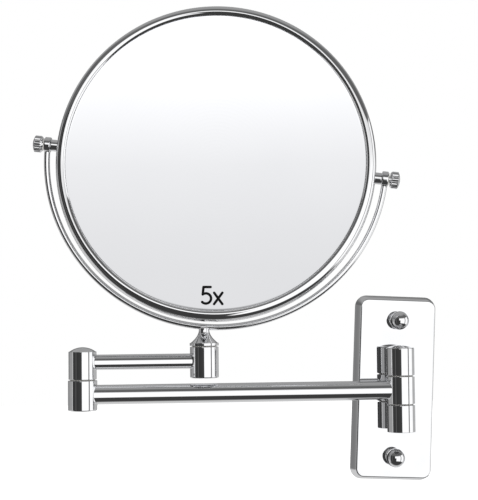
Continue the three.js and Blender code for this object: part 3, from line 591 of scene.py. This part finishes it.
def hinge_bracket():
    """Two bored knuckles on a neck that stands on the plate."""
    inner = KNUCKLE_HALF + SEAM
    upper = softened(knuckle_outline(inner, HINGE_HALF, PIN_BORE, True), SOFT, closed=True)
    lower = softened(knuckle_outline(-HINGE_HALF, -inner, PIN_BORE, False), SOFT, closed=True)
    bracket = turned("hinge_knuckles", upper, AT_HINGE, TURNED_CHROME)
    others = [turned("lower_knuckle_blank", lower, AT_HINGE, TURNED_CHROME)]
    width = NECK_HALF_WIDTH
    spans = {
        "neck_blank": (NECK_FRONT, NECK_BACK, -NECK_HALF_HEIGHT, NECK_HALF_HEIGHT),
        "upper_pad_blank": (PAD_FRONT, NECK_FRONT + PAD_LAP, inner, NECK_HALF_HEIGHT),
        "lower_pad_blank": (PAD_FRONT, NECK_FRONT + PAD_LAP, -NECK_HALF_HEIGHT, -inner),
    }
    for name, (front, back, bottom, top) in spans.items():
        low, high = (-width, front, bottom), (width, back, top)
        others.append(soft_block(name, low, high, NECK_SOFT, AT_HINGE, TURNED_CHROME))
    joined(bracket, others, crease=30)
    return place_piece(bracket, "wall_mount", "polished_chrome", "hinge_bracket")


def sunk_plug(name, radius, bottom, thick, place, body, node):
    """A dished plug, a little way inside a barrel's foot."""
    face, dish, edge = bottom + 0.3, 0.25, radius - FIT
    profile = [(0, face + dish), (radius * 0.7, face + dish), (radius * 0.78, face)]
    profile += [(edge, face), (edge, face + thick), (0, face + thick)]
    piece = turned(name, softened(profile, 0.2), place, TURNED_CHROME, sides=72)
    return place_piece(piece, body, "polished_chrome", node)


def seam_washer(name, radius, bore, middle, place, body, node):
    """A thin washer, whose edge shows in the seam."""
    half = (SEAM - 0.3) / 2
    section = softened(ring_section(bore, radius, middle - half, middle + half), 0.12, 3, closed=True)
    piece = turned(name, section, place, NYLON)
    return place_piece(piece, body, "nylon", node)


def wall_hinge():
    hinge_bracket()
    cap = HINGE_CROWN, HINGE_HALF, HINGE_DOME, RECESS - FIT, HINGE_CAP_DEPTH
    domed_cap("hinge_crown", *cap, AT_HINGE, "wall_mount", "hinge_cap")
    sunk_plug("hinge_foot_plug", RECESS, -HINGE_HALF, HINGE_PLUG, AT_HINGE, "wall_mount", "hinge_plug")
    middle = KNUCKLE_HALF + SEAM / 2
    for label, side in (("upper", 1), ("lower", -1)):
        name = f"hinge_seam_{label}"
        seam_washer(name, WASHER, PIN_BORE, side * middle, AT_HINGE, "wall_mount", f"hinge_washer_{label}")


# -------- arms


def coped_tube(name, radius, height, left, right, body, node, sides=96):
    """A drawn tube along X, its ends shaped round the barrels at left and right: (axis, barrel radius)."""
    stations = 24
    outer, inner = [], []
    for wall, loops in ((0, outer), (TUBE_WALL, inner)):
        bore = radius - wall
        for k in range(stations + 1):
            t = k / stations
            loop = []
            for i in range(sides):
                a = 2 * pi * i / sides
                y, z = bore * cos(a), bore * sin(a)
                start = left[0] + sqrt((left[1] + TUBE_GAP) ** 2 - y**2)
                end = right[0] - sqrt((right[1] + TUBE_GAP) ** 2 - y**2)
                loop.append((start + (end - start) * t, y, height + z))
            loops.append(loop)
    loops = outer + inner[::-1] + [outer[0]]
    points, faces = lofted(loops, False, False)
    place = Matrix.Translation((0, WALL_AXIS.y, 0))
    piece = new_piece(name, points, faces, place, TUBE_CHROME, crease=50)
    return place_piece(piece, body, "polished_chrome", node)


def spigot(name, radius, height, direction, place):
    """The plug of a barrel that its tube slides over."""
    size = radius - TUBE_WALL - FIT
    profile = [(0, SPIGOT_START), (size, SPIGOT_START), (size, SPIGOT_REACH), (0, SPIGOT_REACH)]
    turn = Matrix.Translation((0, 0, height)) @ along_pivots(direction)
    return turned(name, softened(profile, 0.5), place @ turn, TURNED_CHROME, sides=48)


def barrel(name, outline, place, tube, height, direction, body, node, sharp=()):
    """A bored barrel with the spigot that its tube slides over."""
    piece = turned(name, softened(outline, SOFT, closed=True, sharp=sharp), place, TURNED_CHROME)
    reach = spigot(f"{name}_spigot", tube, height, direction, place)
    joined(piece, [reach], crease=35)
    return place_piece(piece, body, "polished_chrome", node)


def footed_outline(radius, bottom, ledge, top):
    """Outline of a barrel with a cavity for the nut or the bolt's head, and a chamfered foot."""
    foot = [(CAVITY, bottom), (radius - FOOT_IN, bottom), (radius, bottom + FOOT_UP)]
    return [(CAVITY, ledge), *foot, (radius, top)]


def lower_arm():
    half = KNUCKLE_HALF
    middle = ring_section(BUSH_BORE, BARREL, -half, half)
    barrel("arm_knuckle", middle, AT_HINGE, LOWER_TUBE, 0, -1, "lower_arm", "wall_knuckle")
    ends = (ELBOW_AXIS.x, ELBOW_LOWER), (WALL_AXIS.x, BARREL)
    coped_tube("long_arm_tube", LOWER_TUBE, 0, *ends, "lower_arm", "lower_tube")
    top, ledge = ELBOW_SEAM - SEAM / 2, ELBOW_LOWER_LEDGE
    outline = [(PIN_BORE, top), (PIN_BORE, ledge)]
    outline += footed_outline(ELBOW_LOWER, ELBOW_BOTTOM, ledge, top)
    barrel("elbow_base", outline, AT_ELBOW, LOWER_TUBE, 0, 1, "lower_arm", "elbow_lower_barrel")
    sunk_plug("elbow_foot_plug", CAVITY, ELBOW_BOTTOM, CAVITY_PLUG, AT_ELBOW, "lower_arm", "elbow_plug")
    seam_washer("elbow_seam", WASHER, PIN_BORE, ELBOW_SEAM, AT_ELBOW, "lower_arm", "elbow_washer")


def upper_arm():
    bottom, ledge = ELBOW_SEAM + SEAM / 2, ELBOW_UPPER_LEDGE
    outline = [(BUSH_BORE, bottom), (ELBOW_UPPER, bottom), (ELBOW_UPPER, ELBOW_TOP)]
    outline += [(CAVITY, ELBOW_TOP), (CAVITY, ledge), (BUSH_BORE, ledge)]
    tube = UPPER_TUBE, UPPER_TUBE_Z
    under_dome = (2,)  # the dome springs from this corner, so it stays sharp
    body_and_node = "upper_arm", "elbow_upper_barrel"
    barrel("elbow_crown", outline, AT_ELBOW, *tube, 1, *body_and_node, sharp=under_dome)
    cap = ELBOW_UPPER, ELBOW_TOP, ELBOW_DOME, CAVITY - FIT, CAVITY_PLUG
    domed_cap("elbow_dome", *cap, AT_ELBOW, "upper_arm", "elbow_cap")
    ends = (ELBOW_AXIS.x, ELBOW_UPPER), (HEAD_AXIS.x, BARREL)
    coped_tube("short_arm_tube", *tube, *ends, "upper_arm", "upper_tube")
    top = HEAD_SEAM - SEAM / 2
    outline = [(BUSH_BORE, top), (BUSH_BORE, HEAD_LEDGE)]
    outline += footed_outline(BARREL, HEAD_BOTTOM, HEAD_LEDGE, top)
    barrel("head_socket", outline, AT_HEAD, *tube, -1, "upper_arm", "head_barrel")
    sunk_plug("head_foot_plug", CAVITY, HEAD_BOTTOM, CAVITY_PLUG, AT_HEAD, "upper_arm", "head_plug")
    seam_washer("head_seam", WASHER, PIN_BORE, HEAD_SEAM, AT_HEAD, "upper_arm", "head_washer")


# -------- node trees that shape pieces


def shape_tree(name, *numbers):
    """A geometry tree with named number inputs and a finish, and its first and last nodes."""
    tree = bpy.data.node_groups.new(name, "GeometryNodeTree")
    tree.interface.new_socket("Geometry", in_out="INPUT", socket_type="NodeSocketGeometry")
    for label in numbers:
        tree.interface.new_socket(label, in_out="INPUT", socket_type="NodeSocketFloat")
    tree.interface.new_socket("Finish", in_out="INPUT", socket_type="NodeSocketMaterial")
    tree.interface.new_socket("Geometry", in_out="OUTPUT", socket_type="NodeSocketGeometry")
    return tree, add(tree, "NodeGroupInput"), add(tree, "NodeGroupOutput")


def finished(tree, start, end, last, output):
    """The tree with its end: smooth faces, real copies and the finish."""
    smooth = add(tree, "GeometryNodeSetShadeSmooth")
    realize = add(tree, "GeometryNodeRealizeInstances")
    coat = add(tree, "GeometryNodeSetMaterial")
    link(last, output, smooth, "Geometry")
    link(smooth, "Geometry", realize, "Geometry")
    link(realize, "Geometry", coat, "Geometry")
    link(start, "Finish", coat, "Material")
    link(coat, "Geometry", end, "Geometry")
    return tree


def math_node(tree, operation, *values):
    """The result of an operation on numbers and sockets."""
    node = add(tree, "ShaderNodeMath", operation=operation)
    for socket, value in zip(node.inputs, values):
        if isinstance(value, (int, float)):
            socket.default_value = value
        else:
            tree.links.new(value, socket)
    return node.outputs[0]


def bent_rod_tree():
    """A round rod along the line of the mesh that it is given."""
    tree, start, end = shape_tree("bent rod", "Rod Radius", "Rod Sides")
    line = add(tree, "GeometryNodeMeshToCurve")
    section = add(tree, "GeometryNodeCurvePrimitiveCircle")
    sweep = add(tree, "GeometryNodeCurveToMesh", Fill_Caps=True)
    link(start, "Geometry", line, "Mesh")
    link(start, "Rod Radius", section, "Radius")
    link(start, "Rod Sides", section, "Resolution")
    link(line, "Curve", sweep, "Curve")
    link(section, "Curve", sweep, "Profile Curve")
    return finished(tree, start, end, sweep, "Mesh")


def fluted_tree():
    """Presses flutes into a turned blank, between two distances along its axis, which is +Z."""
    tree, start, end = shape_tree("fluted grip", "Flutes", "Depth", "Grip Start", "Grip End", "Run Out")
    given = start.outputs
    where = add(tree, "GeometryNodeInputPosition")
    split = add(tree, "ShaderNodeSeparateXYZ")
    link(where, "Position", split, "Vector")
    x, y, z = (split.outputs[axis] for axis in "XYZ")
    turn = math_node(tree, "ARCTAN2", y, x)
    wave = math_node(tree, "COSINE", math_node(tree, "MULTIPLY", turn, given["Flutes"]))
    groove = math_node(tree, "POWER", math_node(tree, "MULTIPLY_ADD", wave, 0.5, 0.5), FLUTE_NARROW)
    rises = []
    for edge, order in (("Grip Start", 1), ("Grip End", -1)):
        beyond = math_node(tree, "SUBTRACT", z, given[edge])
        run = math_node(tree, "DIVIDE", beyond, given["Run Out"])
        signed = math_node(tree, "MULTIPLY", run, order)
        rises.append(math_node(tree, "MINIMUM", math_node(tree, "MAXIMUM", signed, 0), 1))
    pressed = math_node(tree, "MULTIPLY", groove, math_node(tree, "MULTIPLY", *rises))
    depth = math_node(tree, "MULTIPLY", pressed, given["Depth"])
    flat = add(tree, "ShaderNodeCombineXYZ")
    tree.links.new(x, flat.inputs["X"])
    tree.links.new(y, flat.inputs["Y"])
    outward = add(tree, "ShaderNodeVectorMath", operation="NORMALIZE")
    inward = add(tree, "ShaderNodeVectorMath", operation="SCALE")
    link(flat, "Vector", outward, 0)
    link(outward, "Vector", inward, 0)
    tree.links.new(math_node(tree, "MULTIPLY", depth, -1), inward.inputs["Scale"])
    press = add(tree, "GeometryNodeSetPosition")
    link(start, "Geometry", press, "Geometry")
    link(inward, "Vector", press, "Offset")
    return finished(tree, start, end, press, "Geometry")


def rolled_ring_tree():
    """Rolls the section that it is given, a line in X and Y, into a ring of the given radius about +Z."""
    tree, start, end = shape_tree("rolled ring", "Ring Radius", "Ring Steps")
    section = add(tree, "GeometryNodeMeshToCurve")
    ring = add(tree, "GeometryNodeCurvePrimitiveCircle")
    sweep = add(tree, "GeometryNodeCurveToMesh")
    link(start, "Geometry", section, "Mesh")
    link(start, "Ring Radius", ring, "Radius")
    link(start, "Ring Steps", ring, "Resolution")
    link(ring, "Curve", sweep, "Curve")
    link(section, "Curve", sweep, "Profile Curve")
    return finished(tree, start, end, sweep, "Mesh")


def shaped(piece, tree, finish, crease=40, **numbers):
    """Runs a node tree on the piece and keeps the result as its mesh."""
    step = piece.modifiers.new(tree.name, "NODES")
    step.node_group = tree
    values = {key.replace("_", " "): value for key, value in numbers.items()}
    values["Finish"] = finish
    for item in tree.interface.items_tree:
        if item.in_out == "INPUT" and item.name in values:
            step[item.identifier] = values[item.name]
    return modified(piece, crease)


def line_object(name, points, closed):
    """A line of edges through the points, for a node tree to work on."""
    mesh = bpy.data.meshes.new(name)
    edges = [(i, i + 1) for i in range(len(points) - 1)]
    if closed:
        edges.append((len(points) - 1, 0))
    mesh.from_pydata([Vector(point) * MM for point in points], edges, [])
    return linked(name, mesh)


def settle(piece, place):
    """Puts the piece's place into its mesh."""
    metres = Matrix.Translation(place.translation * MM) @ place.to_3x3().to_4x4()
    piece.data.transform(metres)
    piece.data.update()
    return piece


# -------- fork


def fork_rod(tree):
    """A rod bent to half an ellipse, with a flat eye at each end for a knob's screw."""
    steps = 360
    start, end = pi + ROD_END, 2 * pi - ROD_END
    turns = [start + (end - start) * i / steps for i in range(steps + 1)]
    points = [(FORK_HALF_WIDTH * cos(a), 0, FORK_DEPTH * sin(a)) for a in turns]
    rod = line_object("bent_fork_rod", points, False)
    shaped(rod, tree, CHROME, Rod_Radius=ROD * MM, Rod_Sides=40)
    inner = FORK_HALF_WIDTH - EYE_THICK / 2
    section = ring_section(EYE_BORE, EYE, inner, inner + EYE_THICK)
    section = softened(section, EYE_SOFT, steps=5, closed=True)
    eyes = []
    for label, side in (("left", -1), ("right", 1)):
        eyes.append(turned(f"eye_blank_{label}", section, along_pivots(side), CHROME, sides=64))
    joined(rod, eyes, crease=35)
    settle(rod, AT_PIVOTS)
    return place_piece(rod, "fork", "polished_chrome", "fork_rod")


def trumpet_stem():
    """Flange and trumpet in one turning, up to the rod that is brazed on it."""
    bottom = HEAD_SEAM + SEAM / 2
    top, flare_top = bottom + FLANGE_THICK, ROD_Z - ROD
    foot = FLANGE - FLANGE_STEP
    steps = 24
    flare = []
    for i in range(steps + 1):
        t = 1 - i / steps
        flare.append((STEM_TOP + (foot - STEM_TOP) * t**2, flare_top - (flare_top - top) * t))
    flange = softened([(SHANK, bottom), (FLANGE, bottom), (FLANGE, top), (foot, top)], 0.3)
    profile = [(0, SHANK_FOOT), (SHANK - SHANK_CHAMFER, SHANK_FOOT)]
    profile += [(SHANK, SHANK_FOOT + SHANK_CHAMFER), (SHANK, HEAD_LEDGE)]
    profile += [(SHANK_SHOULDER, HEAD_LEDGE), (SHANK_SHOULDER, bottom), *flange[1:], *flare[1:]]
    profile += [(STEM_TOP + 0.1, ROD_Z - ROD / 2), (SADDLE, ROD_Z), (0, ROD_Z)]
    stem = turned("trumpet_stem", profile, AT_HEAD, TURNED_CHROME, crease=45)
    return place_piece(stem, "fork", "polished_chrome", "swivel_stem")


# -------- mirror


def bezel_section():
    """One smooth roll: from the lip over the glass, by shoulder and crest, to the rim over the hoop."""
    front = pi / 2
    bend = front + SHOULDER_TURN
    shoulder = arc(CREST, CREST_HEIGHT - SHOULDER_ROLL, SHOULDER_ROLL, bend, front, steps=10)
    meet, height = shoulder[0]
    centre, level = meet + LIP_ROLL * sin(SHOULDER_TURN), height - LIP_ROLL * cos(SHOULDER_TURN)
    lip = arc(centre, level, LIP_ROLL, front + LIP_TURN, bend, steps=6)
    outer = arc(CREST, CREST_HEIGHT - OUTER_ROLL, OUTER_ROLL, front, front - RIM_TURN, steps=16)
    rim_radius, rim_height = outer[-1]
    rim_edge = (rim_radius - 0.08, rim_height - 0.3)
    return lip[:-1] + shoulder + outer[1:] + [rim_edge] + BEZEL_UNDERSIDE


def rolled(name, section, tree, place, node):
    """A ring rolled from a section of (radius, height) about the mirror's axis."""
    line = line_object(name, [(radius - HOOP_CENTRE, height, 0) for radius, height in section], True)
    shaped(line, tree, CHROME, crease=50, Ring_Radius=HOOP_CENTRE * MM, Ring_Steps=480)
    settle(line, place)
    return place_piece(line, "mirror", "polished_chrome", node)


def hoop_and_bezels(tree):
    outer = arc(HOOP_CENTRE, 0, HOOP_BULGE, -pi / 2, pi / 2, steps=28)
    inner = arc(HOOP_CENTRE, 0, HOOP_BULGE - HOOP_WALL, pi / 2, -pi / 2, steps=16)
    rolled("mirror_hoop", outer + inner, tree, AT_MIRROR @ FACING, "hoop")
    section = bezel_section()
    rolled("bezel_magnifying_side", section, tree, AT_MIRROR @ FACING, "front_bezel")
    rolled("bezel_plain_side", section, tree, AT_MIRROR @ BACKING, "rear_bezel")


def glass_height(radius):
    return GLASS_FACE - GLASS_SAG * (1 - (radius / GLASS) ** 2)


def glasses():
    """The magnifying dish towards the room and the plain pane behind it, with ground edges."""
    steps = 40
    inner, low, high = GLASS - GLASS_BEVEL, GLASS_FACE - GLASS_THICK, GLASS_FACE
    edge = [(inner, low), (GLASS, low + GLASS_BEVEL), (GLASS, high - GLASS_BEVEL), (inner, high)]
    front = [(GLASS * i / steps, glass_height(GLASS * i / steps)) for i in range(steps + 1)]
    back = [(radius, height - GLASS_THICK) for radius, height in front]
    curved = back[:-1] + edge + front[-2::-1]
    dish = turned("magnifying_dish", curved, AT_MIRROR @ FACING, SILVERING, sides=192, crease=30)
    place_piece(dish, "mirror", "mirror_glass", "magnifying_glass")
    flat = [(0, low), *edge, (inner - GLASS_BEVEL, high), (0, high)]
    pane = turned("plain_pane", flat, AT_MIRROR @ BACKING, SILVERING, sides=192, crease=30)
    place_piece(pane, "mirror", "mirror_glass", "plain_glass")


def pivot_bosses():
    """Bored bosses on the hoop, which reach to the fork's eyes."""
    inner, outer = HOOP_CENTRE + BOSS_FOOT, FORK_HALF_WIDTH - EYE_THICK / 2 - FIT
    outline = [(0, inner), (BOSS, inner), (BOSS, outer), (BOSS_BORE, outer)]
    outline += [(BOSS_BORE, BOSS_FLOOR), (0, BOSS_FLOOR)]
    for label, side in (("left", -1), ("right", 1)):
        place = AT_MIRROR @ along_pivots(side)
        boss = turned(f"hoop_boss_{label}", softened(outline, 0.4), place, TURNED_CHROME, sides=64)
        place_piece(boss, "mirror", "polished_chrome", f"pivot_boss_{label}")


# -------- magnification mark

MARK_PLACE = (8.0, -89.9)  # middle of the mark, from the glass's centre
MARK_HEIGHT = 11.7
MARK_STROKE = 1.7
MARK_TURN = radians(6.2)  # the mark stands upright although the mirror leans
INK_THICK = 0.06


def stroke(points, width):
    """The outline of a line of even width with round ends, in the plane of the mark."""
    left, right = [], []
    for i, point in enumerate(points):
        here = Vector(point)
        ahead = Vector(points[min(i + 1, len(points) - 1)]) - Vector(points[max(i - 1, 0)])
        aside = Vector((-ahead.y, ahead.x)).normalized() * width / 2
        left.append(here + aside)
        right.append(here - aside)
    steps = 8
    ends = []
    for point, toward in ((points[-1], points[-2]), (points[0], points[1])):
        out = (Vector(point) - Vector(toward)).normalized()
        base = atan2(out.y, out.x)
        fan = [base - pi / 2 + pi * k / steps for k in range(1, steps)]
        ends.append([Vector(point) + Vector((cos(a), sin(a))) * width / 2 for a in fan])
    return right + ends[0] + left[::-1] + ends[1]


def mark_lines():
    """A generic figure five and a multiplication cross, in shares of the mark's height."""
    h = MARK_HEIGHT
    bowl_radius = 0.29 * h
    bowl_x, bowl_z = -0.36 * h, -0.44 * h + bowl_radius
    bowl = arc(bowl_x, bowl_z, bowl_radius, radians(128), radians(-136), steps=24)
    stem_x, top = bowl[0][0] + 0.04 * h, 0.5 * h
    flag = [(bowl_x + 0.26 * h, top), (stem_x, top)]
    stem = [(stem_x, top), bowl[0]]
    cross_x, cross_z, wide, tall = 0.33 * h, -0.15 * h, 0.23 * h, 0.32 * h
    rising = [(cross_x - wide, cross_z - tall), (cross_x + wide, cross_z + tall)]
    falling = [(cross_x - wide, cross_z + tall), (cross_x + wide, cross_z - tall)]
    return [flag, stem, bowl, rising, falling]


def magnification_mark():
    """Thin strokes of ink that follow the curve of the magnifying glass."""
    turn = Matrix.Rotation(MARK_TURN, 2)
    blanks = []
    for number, line in enumerate(mark_lines()):
        flat = [turn @ point + Vector(MARK_PLACE) for point in stroke(line, MARK_STROKE)]
        skins = []
        for height in (-INK_THICK, INK_THICK):
            skins.append([(p.x, -(glass_height(p.length) + height), p.y) for p in flat])
        points, faces = lofted(skins, True, True)
        blanks.append(new_piece(f"mark_stroke_{number}", points, faces, AT_MIRROR, INK, crease=30))
    mark = blanks[0]
    mark.name = "magnification_mark"
    joined(mark, blanks[1:], crease=30)
    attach(mark, "mirror")


# -------- tilt knobs


def knob_blank(name):
    """Head with a chamfer behind and a crowned end, on a collar and a screw."""
    sphere = (KNOB**2 + KNOB_CROWN**2) / (2 * KNOB_CROWN)
    crown = arc(0, KNOB_END - sphere, sphere, acos(KNOB / sphere), pi / 2, steps=10)
    crown[-1] = (0, KNOB_END)
    low, high = KNOB_START + KNOB_CHAMFER, KNOB_END - KNOB_CROWN
    rings = 8
    side = [(KNOB, low + (high - low) * i / rings) for i in range(rings + 1)]
    tip = BOSS_FLOOR + SCREW_PLAY
    collar = FORK_HALF_WIDTH + EYE_THICK / 2 + SEAM
    profile = [(0, tip), (SCREW - SCREW_CHAMFER, tip), (SCREW, tip + SCREW_CHAMFER), (SCREW, collar)]
    profile += [(COLLAR, collar), (COLLAR, KNOB_START), (KNOB - KNOB_CHAMFER, KNOB_START)]
    profile += [*side, *crown[1:]]
    sides = FLUTES * 10
    return turned(name, profile, Matrix.Identity(4), TURNED_CHROME, sides=sides, crease=50)


def tilt_knobs(tree):
    """A fluted knob and its washer on each eye of the fork."""
    grip = {
        "Flutes": float(FLUTES),
        "Depth": FLUTE_DEPTH * MM,
        "Grip_Start": GRIP_START * MM,
        "Grip_End": GRIP_END * MM,
        "Run_Out": FLUTE_RUN_OUT * MM,
    }
    middle = FORK_HALF_WIDTH + EYE_THICK / 2 + SEAM / 2
    for label, side in (("left", -1), ("right", 1)):
        body, place = f"knob_{label}", AT_PIVOTS @ along_pivots(side)
        knob = knob_blank(f"fluted_knob_{label}")
        shaped(knob, tree, TURNED_CHROME, crease=32, **grip)
        settle(knob, place)
        place_piece(knob, body, "polished_chrome", f"tilt_knob_{label}")
        washer = KNOB_WASHER, KNOB_WASHER_BORE, middle
        seam_washer(f"knob_seat_{label}", *washer, place, body, f"knob_washer_{label}")


# -------- studio

# Tones of the room by bearing: 0 is straight out from the wall, + is on the wall plate's side.
ROOM_TONES = [
    *[(-180, 0.45), (-160, 0.30), (-142, 0.20), (-122, 0.33), (-95, 0.33), (-88, 0.36)],
    *[(-87, 0.85), (-85, 0.85), (-83, 0.045), (-57, 0.04), (-53, 0.14), (-49, 0.035), (-5, 0.05)],
    *[(-3.5, 1.1), (49, 1.1), (51, 0.12), (58.5, 0.12), (60.5, 1.1), (92, 1.05)],
    *[(97, 0.42), (140, 0.5), (152, 0.3), (180, 0.45)],
]
# Tones by elevation.
WINDOW_TONES = [(-90, 1.18), (14, 1.18), (18, 0.93), (22, 0.83), (30, 0.79)]
CEILING_TONES = [(26, 0.11), (52, 0.13), (66, 0.31), (90, 0.33)]
BACK_TONES = [(6, 0.13), (20, 0.14), (32, 0.36), (90, 0.33)]
GROUND_TONE, BACK_GROUND_TONE = 0.045, 0.62
# Where a tone comes in: the angles at which it starts and is full.
WINDOW_LEFT, WINDOW_RIGHT, WINDOW_FOOT = (-21, -20), (49, 48), (2, 3)
CEILING_FADE, GROUND_FADE = (26, 28), (-31, -37)
BACK_HIGH_FADE, BACK_LOW_FADE = (7, 12), (-8, -16)
BACK_FADE = (-0.1, 0.35)  # by how far a direction points at the wall
FULL_TURN = 360
MIX_SHARE, MIX_FIRST, MIX_SECOND, MIX_RESULT = 0, 6, 7, 2  # sockets of a colour mix, by place

FLOOR_HALF, FLOOR_LEVEL = 6, -0.42  # metres, like the light's size and place
FLOOR_GREY, FLOOR_ROUGHNESS, FLOOR_GLOW = 0.86, 0.9, 1.05
LIGHT_WIDTH, LIGHT_LENGTH, LIGHT_POWER = 1.6, 1.2, 9
LIGHT_PLACE, LIGHT_LEAN = (-0.2, -0.5, 1.4), radians(20)
CAMERA_PLACE = (-188.73, -930.23, 54.85)
CAMERA_YAW, CAMERA_PITCH, CAMERA_ROLL = radians(5.099), radians(2.515), radians(-0.569)
CAMERA_LENS, CAMERA_NEAR = 97.9, 0.01


def smooth_step(tree, value, start, end):
    """0 at start and 1 at end, with an even turn between them."""
    low, high = (0, 1) if start < end else (1, 0)
    return map_range(tree, value, min(start, end), max(start, end), low, high, "SMOOTHSTEP")


def mixed(tree, share, first, second):
    """Mixes two colours. A number stands for a grey."""
    node = add(tree, "ShaderNodeMix", data_type="RGBA")
    tree.links.new(share, node.inputs[MIX_SHARE])
    for index, colour in ((MIX_FIRST, first), (MIX_SECOND, second)):
        if isinstance(colour, (int, float)):
            node.inputs[index].default_value = (colour, colour, colour, 1)
        else:
            tree.links.new(colour, node.inputs[index])
    return node.outputs[MIX_RESULT]


def tones_by_angle(tree, share, tones):
    """A ramp of greys, for an angle given as a share of a full turn."""
    stops = [(angle / FULL_TURN + 0.5, (grey, grey, grey)) for angle, grey in tones]
    return ramp_between(tree, share, stops)


def degrees_of(tree, angle):
    return math_node(tree, "MULTIPLY", angle, degrees(1))


def share_of(tree, angle):
    return math_node(tree, "ADD", math_node(tree, "DIVIDE", angle, FULL_TURN), 0.5)


def studio_world():
    """Soft greys by direction: dark left of the lens, white right of it, a wide window over it.

    The lens itself sees plain white.
    """
    world = bpy.data.worlds.new("studio_room")
    bpy.context.scene.world = world
    world.use_nodes = True
    tree = world.node_tree
    tree.nodes.clear()
    where = add(tree, "ShaderNodeTexCoord")
    split = add(tree, "ShaderNodeSeparateXYZ")
    link(where, "Generated", split, "Vector")
    x, y, z = (split.outputs[axis] for axis in "XYZ")
    bearing = degrees_of(tree, math_node(tree, "ARCTAN2", x, math_node(tree, "MULTIPLY", y, -1)))
    rise = degrees_of(tree, math_node(tree, "ARCSINE", z))
    by_rise = share_of(tree, rise)
    sides = [smooth_step(tree, bearing, *side) for side in (WINDOW_LEFT, WINDOW_RIGHT)]
    across = math_node(tree, "MULTIPLY", *sides)
    window = math_node(tree, "MULTIPLY", across, smooth_step(tree, rise, *WINDOW_FOOT))
    behind = smooth_step(tree, y, *BACK_FADE)
    back_high = math_node(tree, "MULTIPLY", behind, smooth_step(tree, rise, *BACK_HIGH_FADE))
    back_low = math_node(tree, "MULTIPLY", behind, smooth_step(tree, rise, *BACK_LOW_FADE))
    path = add(tree, "ShaderNodeLightPath")
    layers = [
        (window, tones_by_angle(tree, by_rise, WINDOW_TONES)),
        (smooth_step(tree, rise, *CEILING_FADE), tones_by_angle(tree, by_rise, CEILING_TONES)),
        (smooth_step(tree, rise, *GROUND_FADE), GROUND_TONE),
        (back_high, tones_by_angle(tree, by_rise, BACK_TONES)),
        (back_low, BACK_GROUND_TONE),
        (path.outputs["Is Camera Ray"], 1.0),
    ]
    room = tones_by_angle(tree, share_of(tree, bearing), ROOM_TONES)
    for share, tone in layers:
        room = mixed(tree, share, room, tone)
    glow = add(tree, "ShaderNodeBackground")
    tree.links.new(room, glow.inputs["Color"])
    link(glow, "Background", add(tree, "ShaderNodeOutputWorld"), "Surface")


def floor():
    """A pale floor with an even glow, which the chrome doesn't show."""
    mesh = bpy.data.meshes.new("pale_floor")
    corners = [(-1, -1), (1, -1), (1, 1), (-1, 1)]
    points = [(x * FLOOR_HALF, y * FLOOR_HALF, FLOOR_LEVEL) for x, y in corners]
    mesh.from_pydata(points, [], [(0, 1, 2, 3)])
    made, _, shader = finish_tree("pale_floor")
    shader.inputs["Base Color"].default_value = (FLOOR_GREY, FLOOR_GREY, FLOOR_GREY, 1)
    shader.inputs["Roughness"].default_value = FLOOR_ROUGHNESS
    shader.inputs["Emission Color"].default_value = (1, 1, 1, 1)
    shader.inputs["Emission Strength"].default_value = FLOOR_GLOW
    mesh.materials.append(made)
    plane = linked("pale_floor", mesh)
    plane.visible_glossy = False


def soft_light():
    light = bpy.data.lights.new("overhead_soft_box", "AREA")
    light.shape = "RECTANGLE"
    light.size, light.size_y = LIGHT_WIDTH, LIGHT_LENGTH
    light.energy = LIGHT_POWER
    lamp = linked("overhead_soft_box", light)
    lamp.matrix_world = Matrix.Translation(LIGHT_PLACE) @ Matrix.Rotation(LIGHT_LEAN, 4, "X")
    lamp.visible_glossy = False
    lamp.visible_camera = False


def studio():
    studio_world()
    floor()
    soft_light()
    bpy.context.scene.view_settings.view_transform = "Standard"


def camera():
    """The view that the studio is toned for."""
    data = bpy.data.cameras.new("lens")
    data.lens = CAMERA_LENS
    data.clip_start = CAMERA_NEAR
    view = linked("lens", data)
    reach = cos(CAMERA_PITCH)
    forward = Vector((sin(CAMERA_YAW) * reach, cos(CAMERA_YAW) * reach, sin(CAMERA_PITCH)))
    level = Vector((cos(CAMERA_YAW), -sin(CAMERA_YAW), 0))
    up = level.cross(forward)
    right = level * cos(CAMERA_ROLL) + up * sin(CAMERA_ROLL)
    top = up * cos(CAMERA_ROLL) - level * sin(CAMERA_ROLL)
    turn = Matrix((right, top, -forward)).transposed().to_4x4()
    view.matrix_world = Matrix.Translation(Vector(CAMERA_PLACE) * MM) @ turn
    bpy.context.scene.camera = view


# -------- assembly

cover_plate()
dome_nuts()
wall_hinge()
lower_arm()
upper_arm()
fork_rod(bent_rod_tree())
trumpet_stem()
hoop_and_bezels(rolled_ring_tree())
glasses()
pivot_bosses()
magnification_mark()
tilt_knobs(fluted_tree())

for node_name, node_object in frame["nodes"].items():
    node_object.data.materials.clear()
    node_object.data.materials.append(FINISH_OF_SLOT[SLOT_OF[node_name]])

studio()
camera()
